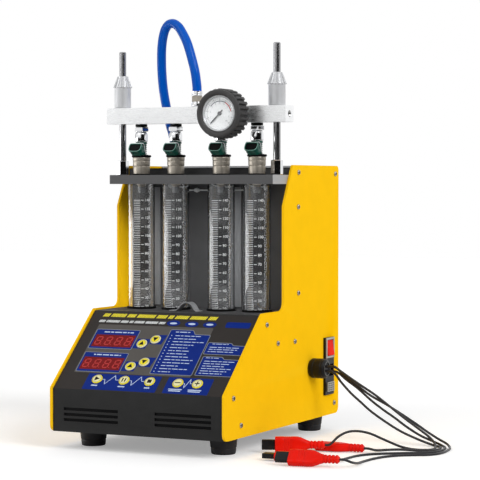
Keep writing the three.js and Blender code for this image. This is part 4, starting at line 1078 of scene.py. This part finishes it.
bushing_nut = ((8.8, 1.9), (9.4, 2.4), (9.4, 6), (8.8, 6.5), (7.7, 6.6))
loft("hose_bushing_nut", [hexagon(r, z) for r, z in bushing_nut], chrome, **on_cover, sharp=20)
print("hose fittings:", 5)

# %% [markdown]
# ## Key caps
#
# Nine round caps stand slightly proud of the sloped panel, each on its own body because each one can
# be pressed. A cap is turned, with a domed crown in two colours, and its sign is a flat shape that
# rides with it: arrows, play, pause, stop, minus and plus.

# %% Panel place
slope = math.atan2(95.3, 108.6)
panel_inset = 2.5
casing_front = low_high("side_plate_right")[0].y
panel_bottom = low_high("control_panel")[0].z
panel_origin = (0, casing_front + panel_inset * math.sin(slope), 79.5 - panel_inset * math.cos(slope))
panel_place = at(*panel_origin, turn_x=math.degrees(slope))
to_panel = panel_place.inverted()
print("plates start at y", round(casing_front, 1), "panel bottom", round(panel_bottom, 1))


def along_panel(node):
    """A node's middle in the panel's own frame, in millimetres: across, up the slope, and proud."""
    return to_panel @ (middle(node) * MM) / MM


for node in ("key_play", "display_window_1"):
    print(node, [round(v, 2) for v in along_panel(node)])

# %% Caps and signs
keys = {
    "key_up_1": ("up", -26.5, 85.6), "key_down_1": ("down", -9.9, 94),
    "key_up_2": ("up", -26.5, 45.2), "key_down_2": ("down", -9.9, 53.6),
    "key_play": ("play", -64.5, 20.4), "key_pause": ("pause", -25.2, 20.4), "key_stop": ("stop", 11.8, 20.4),
    "key_minus": ("minus", 52, 20.4), "key_plus": ("plus", 79.5, 20.4),
}
signs = {
    "up": [[(-3.8, -2.9), (3.8, -2.9), (0, 4)]],
    "down": [[(-3.8, 2.9), (0, -4), (3.8, 2.9)]],
    "play": [[(-2.9, -3.7), (4.2, 0), (-2.9, 3.7)]],
    "pause": [[(-2.8, -3.3), (-1.1, -3.3), (-1.1, 3.3), (-2.8, 3.3)],
              [(1.1, -3.3), (2.8, -3.3), (2.8, 3.3), (1.1, 3.3)]],
    "stop": [[(-2.9, -2.9), (2.9, -2.9), (2.9, 2.9), (-2.9, 2.9)]],
    "minus": [[(-4, -0.7), (4, -0.7), (4, 0.7), (-4, 0.7)]],
    "plus": [[(-3.4, -0.75), (-0.75, -0.75), (-0.75, -3.4), (0.75, -3.4), (0.75, -0.75), (3.4, -0.75),
              (3.4, 0.75), (0.75, 0.75), (0.75, 3.4), (-0.75, 3.4), (-0.75, 0.75), (-3.4, 0.75)]],
}
proud = 1.3
for node, (sign, x, s) in keys.items():
    place = panel_place @ Matrix.Translation(Vector((x, s, 0)) * MM)
    on_key = {"body": node, "slot": "key_plastic", "matrix": place}
    outer, inner = (key_cream, key_yellow) if sign in ("up", "down") else (key_yellow, key_cream)
    cap = [(0, -2.7), (8.7, -2.7), (8.7, -1.9), (7.2, -1.9), (7.2, 0.7), (6.8, 1.1), (6.2, 1.2), (0, 1.2)]
    turned(f"{node}_cap", cap, outer, 0.15, 48, **on_key, replaces=[node])
    crown = [(5.5, 1.1), (5.5, 1.24), (5.1, proud - 0.02), (0, proud)]
    turned(f"{node}_crown", crown, inner, 0.05, 48, **on_key)
    groove = [(5.5, 1.21), (6, 1.21), (6, 1.24), (5.5, 1.24)]
    turned(f"{node}_line", groove, grey_ink, 0.01, 48, closed=True, **on_key)
    shapes = []
    for outline in signs[sign]:
        triangles = tessellate_polygon([[Vector((u, v, 0)) for u, v in outline]])
        shapes.append(([(u, v, proud + 0.03) for u, v in outline], [tuple(t) for t in triangles]))
    sign_points, sign_faces = gather(shapes)
    mesh_piece(f"{node}_sign", sign_points, sign_faces, black_ink, **on_key)
print("keys:", len(keys))

# %% [markdown]
# ## Panel print
#
# The panel's legend is one printed film: a brown-black ground, a lighter field, blue boxes with grey
# edges, and pale lines. Each ink is a flat mesh a tenth of a millimetre above the one below, cut out
# round the windows and keys. Where the film would carry words, plain bars stand in for them.

# %% Helpers for prints


def box_outline(x0, x1, s0, s1, radius=0.0):
    corners = [(x0, s0, 0), (x1, s0, 0), (x1, s1, 0), (x0, s1, 0)]
    return round_corners(corners, radius, closed=True, steps=4) if radius else corners


def tab_outline(x0, x1, s0, s1, tab_end, tab_top, slant, radius=2.0):
    """A box with a tab standing on the left of its top edge."""
    corners = [(x0, s0, 0), (x1, s0, 0), (x1, s1, 0), (tab_end + slant, s1, 0), (tab_end, tab_top, 0),
               (x0, tab_top, 0)]
    return round_corners(corners, radius, closed=True, steps=4)


def grown(outline, by):
    """The same outline pushed outwards, for a border round it."""
    count = len(outline)
    moved = []
    for i, point in enumerate(outline):
        along = (Vector(outline[(i + 1) % count]) - Vector(outline[i - 1])).normalized()
        moved.append(tuple(Vector(point) + Vector((along.y, -along.x, 0)) * by))
    return moved


def disc_outline(x, s, radius, flat=1.0, sides=40):
    return [(x + radius * math.cos(2 * math.pi * i / sides),
             s + radius * flat * math.sin(2 * math.pi * i / sides), 0) for i in range(sides)]


def print_layer(name, shapes, height, ink, slot="black_sheet"):
    """Flat shapes on the panel. Each shape is an outline, or a list of an outline and its holes."""
    parts = []
    for shape in shapes:
        loops = shape if isinstance(shape, list) and isinstance(shape[0], list) else [shape]
        rows = [[Vector(p) for p in loop] for loop in loops]
        triangles = tessellate_polygon(rows)
        parts.append(([(p.x, p.y, height) for row in rows for p in row], [tuple(t) for t in triangles]))
    points, faces = gather(parts)
    return mesh_piece(name, points, faces, ink, slot=slot, matrix=panel_place)


key_holes = {node: disc_outline(x, s, 7.5) for node, (sign, x, s) in keys.items()}
windows = {"display_1": (-99.5, -40.5, 77.6, 99.6), "display_2": (-99.5, -40.5, 37, 59)}
window_holes = {name: box_outline(*spot) for name, spot in windows.items()}
print("holes in the film:", len(key_holes) + len(window_holes))

# %% Film and field
ground = box_outline(-121.2, 121.2, 1.2, 141.6, 1.5)
print_layer("panel_ground", [[ground, *key_holes.values(), *window_holes.values()]], 0.06, panel_film)
field = box_outline(-104, 65, 31, 118, 2)
field_holes = [key_holes[k] for k in ("key_up_1", "key_down_1", "key_up_2", "key_down_2")]
print_layer("panel_field", [[field, *field_holes, *window_holes.values()]], 0.12, field_film)

# %% Boxes and their borders
display_frames = [box_outline(-102, -38.5, 74.6, 108.6, 1.5), box_outline(-102, -38.5, 33.4, 67, 1.5)]
list_box = tab_outline(6, 65, 34.5, 105, 38, 112.4, 5)
info_boxes = [tab_outline(68, 120.6, 72.5, 88, 100, 92, 4, 1.5),
              tab_outline(70, 120.8, 35.5, 63.5, 96, 67.6, 4, 1.5)]
blue_boxes = [
    [display_frames[0], window_holes["display_1"]],
    [display_frames[1], window_holes["display_2"]],
    list_box, *info_boxes,
]
strips = [box_outline(-80, 26, 2.4, 30, 1.5), box_outline(36, 99.4, 2.4, 30, 1.5)]
blue_boxes += [[strips[0], key_holes["key_play"], key_holes["key_pause"], key_holes["key_stop"]],
               [strips[1], key_holes["key_minus"], key_holes["key_plus"]]]
arrow_boxes = {"up": (-12, 7.4, 8.6, 3.2), "down": (-5.6, 11.4, 8.4, 3)}
for node, (sign, x, s) in keys.items():
    if sign in arrow_boxes:
        left, right, half, lean = arrow_boxes[sign]
        box = [(x + left, s - half, 0), (x + right, s - half, 0), (x + right + lean, s + half, 0),
               (x + left + lean, s + half, 0)]
        blue_boxes.append([box, key_holes[node]])
print_layer("panel_blue", blue_boxes, 0.18, blue_ink)
borders = [[grown(box, 0.9), box] for box in (*display_frames, list_box, *info_boxes)]
print_layer("panel_borders", borders, 0.2, grey_ink)
print("blue boxes:", len(blue_boxes))

# %% Bars in place of words
word_pattern = [7, 4, 9, 5, 11, 6, 3, 8, 10, 5, 7, 12, 4, 9, 6]
word_gap = 1.3


def word_bars(x, s, reach, height, start):
    """A line of plain bars, as long as words would be."""
    bars = []
    i = start
    while x < reach - 2:
        width = min(word_pattern[i % len(word_pattern)] * 0.95, reach - x)
        bars.append(box_outline(x, x + width, s - height / 2, s + height / 2, height * 0.3))
        x += width + word_gap
        i += 1
    return bars


def dashed_words(x, s, reach, height, dash, start):
    """A title line of short leaning dashes, in groups as long as words would be."""
    dashes = []
    i = start
    while x < reach - 2:
        for place_in_word in range(word_pattern[i % len(word_pattern)]):
            if x + dash > reach:
                break
            corners = ((x, s - height / 2), (x + dash, s - height / 2), (x + dash, s + height / 2),
                       (x, s + height / 2))
            dashes.append([(u + (v - s) * 0.35, v, 0) for u, v in corners])
            x += dash * 1.5
        x += dash * 1.7
        i += 1
    return dashes


pale_bars = []
list_lengths = [44, 41, 53, 39, 31, 36, 34, 41, 52, 46, 33, 47, 22]
for row, reach in enumerate(list_lengths):
    s = 102.2 - row * 5.3
    pale_bars.append(disc_outline(10.5, s, 0.8, sides=12))
    pale_bars += word_bars(16, s, 14 + reach * 0.88, 1.2, row)
pale_bars += word_bars(14, 108.8, 35, 1.5, 3)
pale_bars += word_bars(-90, 104.2, -46, 1.9, 2) + word_bars(-88, 63.2, -48, 1.9, 6)
for row, s in enumerate((84.4, 80.8, 76.8)):
    pale_bars += word_bars(72, s, 116 - 4 * row, 1.1, row + 4)
pale_bars += word_bars(74, 90.2, 97, 1, 1)
for row in range(6):
    pale_bars += word_bars(74, 60 - row * 4.2, 116 - 5 * (row % 3), 1.1, row + 7)
pale_bars += word_bars(74, 65.8, 92, 1, 5)
for node, width in (("key_play", 9), ("key_pause", 10), ("key_stop", 8)):
    x = keys[node][1]
    pale_bars.append(box_outline(x - width / 2, x + width / 2, 8.6, 10.6, 0.8))
for node in ("key_minus", "key_plus"):
    x = keys[node][1]
    pale_bars += [box_outline(x - 9.5, x + 9.5, 8.9, 10.6, 0.7), box_outline(x - 8.5, x + 8.5, 6.2, 7.9, 0.7)]
print_layer("panel_pale_bars", pale_bars, 0.26, pale_ink)
print_layer("panel_title_bars", dashed_words(-104, 135.2, 66, 6, 1.6, 1), 0.26, yellow_ink)
print_layer("panel_second_bars", dashed_words(-106, 124, -6, 4.2, 1.2, 3), 0.26, white_ink)
badge_places = [(4.3, 124.4), (31.2, 123.6), (57.2, 123.8)]
badges = [disc_outline(x, s, 9.6, 0.52) for x, s in badge_places] + [box_outline(80, 115, 119.6, 129.6, 3)]
print_layer("panel_badges", badges, 0.18, blue_ink)
print_layer("panel_badge_marks", [disc_outline(x, 124, 5.2, 0.34) for x, s in badge_places], 0.24, pale_ink)
print("bars:", len(pale_bars))

# %% [markdown]
# The two key strips carry thin zigzag lines from key to key. A zigzag is a thick line: each stretch
# is a ribbon, made by moving its two ends to both sides of the run.

# %% Zigzags


def ribbon(points, width):
    """A flat line of even width through (x, s) points, as an outline."""
    left, right = [], []
    for i, point in enumerate(points):
        before = Vector(points[max(i - 1, 0)])
        after = Vector(points[min(i + 1, len(points) - 1)])
        along = (after - before).normalized()
        aside = Vector((-along.y, along.x)) * width / 2
        spot = Vector(point)
        left.append((spot.x + aside.x, spot.y + aside.y, 0))
        right.append((spot.x - aside.x, spot.y - aside.y, 0))
    return left + right[::-1]


def zigzag(points, width):
    """Each stretch as a ribbon of its own, so that sharp turns don't fill up."""
    return [ribbon(pair, width) for pair in zip(points, points[1:])]


zigzags = []
for first, second in (("key_play", "key_pause"), ("key_pause", "key_stop"), ("key_minus", "key_plus")):
    x0, x1 = keys[first][1] + 8, keys[second][1] - 8
    s = keys[first][2]
    span = x1 - x0
    zigzags += zigzag([(x0, s), (x0 + span * 0.14, s), (x0 + span * 0.24, s - 8), (x0 + span * 0.68, s + 7.5),
                       (x0 + span * 0.82, s), (x1, s)], 0.9)
print_layer("panel_zigzags", zigzags, 0.24, pale_ink)
print("zigzags:", len(zigzags))

# %% [markdown]
# ## Displays
#
# A dark red filter covers four seven-segment digits. Unlit segments show faintly through it, so they
# are a shade brighter than the filter and lie just on top of it.

# %% Seven-segment digits


def digit_segments(x, s, width, height, thick, lean=0.1):
    """The seven bars of one digit, leaning slightly to the right."""
    half, mid = width / 2, height / 2
    cut = thick * 0.6
    bars = []

    def bar(x0, s0, x1, s1):
        along = Vector((x1 - x0, s1 - s0)).normalized()
        aside = Vector((-along.y, along.x)) * thick / 2
        start, end = Vector((x0, s0)) + along * cut, Vector((x1, s1)) - along * cut
        tip0, tip1 = Vector((x0, s0)) + along * cut * 0.3, Vector((x1, s1)) - along * cut * 0.3
        spots = [tip0, start - aside, end - aside, tip1, end + aside, start + aside]
        bars.append([(x + p.x + p.y * lean, s + p.y, 0) for p in spots])

    for level in (-mid, 0, mid):
        bar(-half, level, half, level)
    for edge in (-half, half):
        bar(edge, -mid, edge, 0)
        bar(edge, 0, edge, mid)
    return bars


window_top = max((to_panel @ (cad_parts["display_window_1"].matrix_world @ v.co)).z
                 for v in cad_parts["display_window_1"].data.vertices) / MM
segments = []
for x0, x1, s0, s1 in windows.values():
    for i in range(4):
        x = x0 + (x1 - x0) * (i + 0.5) / 4
        segments += digit_segments(x, (s0 + s1) / 2, 7.4, 13.6, 1.9)
        segments.append(disc_outline(x + 5.6, s0 + 4.4, 0.9, sides=12))
print_layer("display_segments", segments, window_top + 0.05, red_digit, slot="display_red")
print("window top at", round(window_top, 2), "segments:", len(segments))

# %% [markdown]
# ## Mains inlet
#
# The inlet module stays as its CAD piece. Inside the socket stand three flat pins, and the fuse
# drawer's face is moulded with a small grid so that a fingernail can pull it.

# %% Inlet pins and drawer face


def block_shape(low, high):
    """A plain box as (points, faces), to be gathered with others into one mesh."""
    points = [(x, y, z) for x in (low[0], high[0]) for y in (low[1], high[1]) for z in (low[2], high[2])]
    return points, [(0, 1, 3, 2), (4, 6, 7, 5), (0, 4, 5, 1), (2, 3, 7, 6), (0, 2, 6, 4), (1, 5, 7, 3)]


inlet_low, inlet_high = low_high("power_inlet")
inlet_y, socket_z = (inlet_low.y + inlet_high.y) / 2, inlet_low.z + 33.5
for name, aside, above in (("left", -7, -1.6), ("middle", 0, 2.2), ("right", 7, -1.6)):
    block_piece(f"inlet_pin_{name}", (inlet_high.x - 16.2, inlet_y + aside - 1, socket_z + above - 2),
                (inlet_high.x - 2.5, inlet_y + aside + 1, socket_z + above + 2), screw_steel, 0.5,
                slot="inlet_plastic")
# A black slab deep in the socket is painted shade, darker than the inlet's own plastic.
block_piece("inlet_socket_shade", (inlet_high.x - 16.6, inlet_y - 12, socket_z - 8),
            (inlet_high.x - 16.05, inlet_y + 12, socket_z + 8), black_and_painted_shade, 0.1, slot="inlet_plastic")
rocker_low, rocker_high = low_high("power_rocker")
rocker_y, rocker_z = (rocker_low.y + rocker_high.y) / 2, (rocker_low.z + rocker_high.z) / 2
frame_rings = []
for y, z, proud in ((10.9, 11.1, 1.1), (11.1, 11.3, 1.4), (13.2, 13.6, 1.4), (13.5, 13.9, 1.1),
                    (13.5, 13.9, 0.05), (10.9, 11.1, 0.05)):
    frame_rings.append([(inlet_high.x + proud, rocker_y + sy * y, rocker_z + sz * z)
                        for sy, sz in ((-1, -1), (1, -1), (1, 1), (-1, 1))])
loft("rocker_frame", frame_rings, drawer_light, closed=True, slot="inlet_plastic", sharp=30)
drawer_low, drawer_high = low_high("fuse_drawer")
grid = []
face_x = drawer_high.x
y0, y1, z0, z1 = drawer_low.y + 0.4, drawer_high.y - 0.4, drawer_low.z + 0.4, drawer_high.z - 0.4
rows, columns, bar_half = 4, 3, 0.55
for row in range(rows + 1):
    level = z0 + (z1 - z0) * row / rows
    grid.append(block_shape((face_x - 0.2, y0 - bar_half, level - bar_half),
                            (face_x + 1.4, y1 + bar_half, level + bar_half)))
for column in range(columns + 1):
    across = y0 + (y1 - y0) * column / columns
    grid.append(block_shape((face_x - 0.2, across - bar_half, z0), (face_x + 1.3, across + bar_half, z1)))
grid_points, grid_faces = gather(grid)
mesh_piece("drawer_grid", grid_points, grid_faces, drawer_light, body="drawer", slot="drawer_plastic")
print("drawer face:", round(drawer_high.y - drawer_low.y, 1), "by", round(drawer_high.z - drawer_low.z, 1))

# %% [markdown]
# ## Cable connector
#
# A round moulded cap covers the socket where the four cords come out. It flares from its root, has
# two grooves for grip and closes round the cords with a grey ring, whose pale tone is a painted highlight
# on the mouth's rim.

# %% Connector
connector_place = at(plate_face + clearance, connector_y, connector_z, turn_y=90)
reach = connector_high.x - plate_face - clearance
sleeve = plate_face + clearance - connector_low.x
cap_rows = [(0, -sleeve), (9.2, -sleeve), (9.2, 0), (11.6, 0), (13.4, 2.6), (13.4, 6.6), (12.9, 7),
            (12.9, 7.8), (13.4, 8.2), (13.4, 17.6), (12.9, 18), (12.9, 18.8), (13.2, 19.2), (12.6, 21.6),
            (11.4, reach - 0.9), (10.4, reach - 0.1), (8.9, reach - 0.1), (8.5, reach - 0.6),
            (8.5, reach - connector_mouth), (0, reach - connector_mouth)]
turned("connector_cap", cap_rows, black_plastic, 0.5, 72, slot="connector_plastic", matrix=connector_place,
       replaces=["cable_connector"])
# The grey ring's pale tone is a painted highlight on the mouth's rim.
turned("connector_rim_highlight", [(8.6, reach - 0.8), (9.9, reach - 0.5), (9.8, reach), (8.7, reach)], drawer_plastic,
       0.15, 64, closed=True, slot="connector_plastic", matrix=connector_place)
print("connector reach:", round(reach, 1))

# %% [markdown]
# ## Feet and screws
#
# The feet are turned rubber with a rolled rim. Button-head screws hold the side plates: a low dome
# with a socket sunk into it, and a black disc in the socket as painted shade.

# %% Feet
for node in ("foot_front_left", "foot_front_right", "foot_rear_left", "foot_rear_right"):
    high = low_high(node)[1]
    rows = [(0, 0), (13.8, 0), (15.2, 0.5), (15.6, 1.8), (16.2, 7), (15.9, 7.6), (16.0, 8.4), (16.6, 8.9),
            (17.6, 18), (18.3, 19.5), (18.3, high.z - 0.6), (17.7, high.z), (0, high.z)]
    turned(f"{node}_form", rows, foot_rubber, 0.6, 64, slot="foot_rubber", matrix=standing(node),
           replaces=[node])
print("feet:", 4)

# %% Screws
screw_places = [(121.7, 159.7), (155.2, 133.5), (208.4, 132.2), (25, 74.8), (46.2, 38.9), (338.9, 38.1),
                (220.2, 355.6), (342.3, 354.2), (218.8, 309.9), (219.3, 195.8)]
head_rows = [(0, 0.05), (3.3, 0.05), (3.5, 0.5), (3.3, 1.2), (2.9, 1.8), (2.3, 2.1), (1.95, 2.1), (1.95, 0.8),
             (0, 0.8)]
for side, face_x, turn in (("right", plate_face, 90), ("left", low_high("side_plate_left")[0].x, -90)):
    for number, (from_front, height) in enumerate(screw_places, start=1):
        place = at(face_x, casing_front + from_front, height, turn_y=turn)
        turned(f"screw_{side}_{number}", head_rows, screw_dark, 0.2, 32, slot="bright_steel", matrix=place)
        # The black hex disc in each socket is painted shade.
        turned(f"screw_socket_shade_{side}_{number}", [(0, 0.81), (1.9, 0.81), (1.9, 0.9), (0, 0.9)], black_and_painted_shade,
               0.02, 6, slot="bright_steel", matrix=place)
print("screws:", 2 * len(screw_places))

# %% [markdown]
# ## Small fittings in the tube bay
#
# Two guide strips run up the wall between the tubes, and a thin clear line with small unions crosses
# the bay near the top. A spring strap is fixed to the deck. It is a flat band swept along a smooth
# line, so its arch and its foot come from one list of points. Thin black sheets behind the slots are
# painted shade, so that the slots read dark.

# %% Strips and line
wall_front = 25.0
strip_low, strip_high, strip_half = 176, 336, 6.5
for number, x in enumerate((-79.4, 43), start=1):
    block_piece(f"wall_strip_{number}", (x - strip_half, wall_front - 1.2, strip_low),
                (x + strip_half, wall_front + 0.1, strip_high), strip_paint, 0.3, slot="bright_steel")
line_y, line_z = 20.5, 332
curve_piece("bay_line", [(x, line_y, line_z) for x in (-56, -20, 20, 89)], 1.8, clear_plastic)
union = [(0, -3.4), (2.2, -3.4), (2.2, -1.4), (3.1, -1.2), (3.1, 1.2), (2.2, 1.4), (2.2, 3.4), (0, 3.4)]
for number, x in enumerate((-56, -15, 24, 89), start=1):
    turned(f"bay_union_{number}", union, clear_plastic, 0.25, 24, slot="bright_steel",
           matrix=at(x, line_y, line_z, turn_y=90))
print("unions:", 4)

# %% Deck strap
strap_route = [(-25, 0.8), (-16.5, 0.9), (-12.5, 3), (-7.5, 8.4), (-2, 11.6), (4.5, 11.2), (8.5, 8),
               (11.5, 3.4), (14, 1.2), (18, 0.8)]
strap = catmull_rom([(x, 0, deck_top + rise) for x, rise in strap_route], 1.0)
strap_loops = []
for i, spot in enumerate(strap):
    along = (strap[min(i + 1, len(strap) - 1)] - strap[max(i - 1, 0)]).normalized()
    up = Vector((-along.z, 0, along.x)) * 0.5
    near, far = Vector((0, -40, 0)), Vector((0, -27, 0))
    strap_loops.append([tuple(spot + near - up), tuple(spot + far - up), tuple(spot + far + up),
                        tuple(spot + near + up)])
loft("deck_strap", strap_loops, strap_steel, slot="bright_steel", sharp=30)
print("strap points:", len(strap))

# %% Painted highlight on the top cover's front edge
cover_step = cover_high.y - 55.5
highlight_half, highlight_low, highlight_high = 121.4, 362, 365.2
block_piece("cover_edge_highlight_strip", (-highlight_half, cover_step - 1.3, highlight_low),
            (highlight_half, cover_step - 0.1, highlight_high), cover_edge_highlight, 0.3, slot="bright_steel")
print("cover step at y", round(cover_step, 1))

# %% Painted shade behind the slots
slot_middle, shade_sheet_half, shade_sheet_low, shade_sheet_high, shade_sheet_thickness = 66, 43, 35, 57.5, 0.22
for end, front_y in (("front", -173.46), ("rear", 173.24)):
    for side, middle_x in (("left", -slot_middle), ("right", slot_middle)):
        block_piece(f"slot_shade_sheet_{end}_{side}", (middle_x - shade_sheet_half, front_y, shade_sheet_low),
                    (middle_x + shade_sheet_half, front_y + shade_sheet_thickness, shade_sheet_high), black_and_painted_shade, 0.02,
                    slot="black_sheet")
print("shade_sheets:", 4)

# %% [markdown]
# ## Floor, light and background
#
# The machine stands on a pale sweep, as in a product photograph. The background is white only to
# the camera and to reflections, so it adds no light of its own. The lamps stay at a plain level: a
# soft key from the right, because the right plate is the brightest side, and a weaker fill.

# %% Floor
floor_mesh = bpy.data.meshes.new("floor")
floor_mesh.from_pydata([(-6, -6, 0), (6, -6, 0), (6, 6, 0), (-6, 6, 0)], [], [(0, 1, 2, 3)])
floor = bpy.data.objects.new("floor", floor_mesh)
scene.collection.objects.link(floor)
floor_paint = bpy.data.materials.new("pale floor")
floor_paint.use_nodes = True
tree = floor_paint.node_tree
shader = tree.nodes["Principled BSDF"]
shader.inputs["Base Color"].default_value = (0.9, 0.9, 0.9, 1)
shader.inputs["Roughness"].default_value = 0.9
shader.inputs["Emission Color"].default_value = (1, 1, 1, 1)
ray = add_node(tree, "LightPath", {})
seen = add_node(tree, "Math", {0: ray.outputs["Is Camera Ray"], 1: 0.3}, operation="MULTIPLY")
tree.links.new(seen.outputs["Value"], shader.inputs["Emission Strength"])
floor_mesh.materials.append(floor_paint)
print("floor ready")

# %% World
world = bpy.data.worlds.new("studio")
scene.world = world
world.use_nodes = True
tree = world.node_tree
background = tree.nodes["Background"]
background.inputs["Color"].default_value = (1, 1, 1, 1)
ray = add_node(tree, "LightPath", {}).outputs
reflected = add_node(tree, "Math", {0: ray["Is Camera Ray"], 1: ray["Is Glossy Ray"]}, operation="MAXIMUM")
passed = add_node(tree, "Math", {0: reflected.outputs["Value"], 1: ray["Is Transmission Ray"]},
                  operation="MAXIMUM")
strength = add_node(tree, "MapRange", {"To Min": 0.5, "To Max": 1.0, "Value": passed.outputs["Value"]})
tree.links.new(strength.outputs["Result"], background.inputs["Strength"])
print("world ready")

# %% Lamps


def sun(name, towards, strength, softness):
    """A soft lamp that shines from a direction, given as a vector from the machine to the lamp."""
    data = bpy.data.lights.new(name, "SUN")
    data.energy = strength
    data.angle = math.radians(softness)
    lamp = bpy.data.objects.new(name, data)
    lamp.rotation_euler = Vector(towards).to_track_quat("Z", "Y").to_euler()
    scene.collection.objects.link(lamp)
    return lamp


sun("key lamp", (0.85, -0.35, 0.55), 1.5, 30)
sun("fill lamp", (-0.35, -0.85, 0.6), 0.5, 40)
print("lamps:", 2)

# %% [markdown]
# Plating and glass have no look of their own: they show what stands round them. A glowing card on
# the left draws the white bands along the tubes, and a tall black one on the right front gives rods
# and collars their dark core. Lower black cards keep the tubes' fronts clear. A cylinder mirrors the
# side at its own height, so cards that end near the clamp bar change the tubes and little else. All
# of them are seen by mirrors and glass alone, so no painted colour changes.

# %% Cards


def card(name, azimuth, distance, width, low, high, glow, through=False):
    """An upright card that glows inwards. The azimuth is in degrees, from straight in front to the right."""
    angle = math.radians(azimuth)
    centre = Vector((math.sin(angle), -math.cos(angle), 0)) * distance
    aside = Vector((math.cos(angle), math.sin(angle), 0)) * width / 2
    corners = [centre - aside, centre + aside, centre + aside, centre - aside]
    mesh = bpy.data.meshes.new(name)
    mesh.from_pydata([(p.x, p.y, z) for p, z in zip(corners, (low, low, high, high))], [], [(0, 1, 2, 3)])
    material = bpy.data.materials.new(name)
    material.use_nodes = True
    tree = material.node_tree
    shader = tree.nodes["Principled BSDF"]
    shader.inputs["Base Color"].default_value = (0.01, 0.01, 0.01, 1)
    shader.inputs["Specular IOR Level"].default_value = 0
    shader.inputs["Emission Color"].default_value = (1, 1, 1, 1)
    side = add_node(tree, "NewGeometry", {})
    inward = add_node(tree, "Math", {0: side.outputs["Backfacing"], 1: glow}, operation="MULTIPLY")
    tree.links.new(inward.outputs["Value"], shader.inputs["Emission Strength"])
    mesh.materials.append(material)
    obj = bpy.data.objects.new(name, mesh)
    scene.collection.objects.link(obj)
    obj.visible_camera = False
    obj.visible_diffuse = False
    obj.visible_shadow = False
    obj.visible_transmission = through


card_foot, low_card_top = -0.1, 0.4
card("glowing card", -78, 1.6, 2, card_foot, low_card_top, 4.5, through=True)
card("black card", 56, 1.6, 2.59, card_foot, 1.2, 0)
card("low black card left", -24, 1.59, 1.2, card_foot, low_card_top, 0, through=True)
card("low black card middle", 24, 1.59, 1.6, card_foot, low_card_top, 0, through=True)
card("low black card right", 80, 1.58, 1.7, card_foot, low_card_top, 0, through=True)
print("cards:", 5)

# %% The end
print("the end")
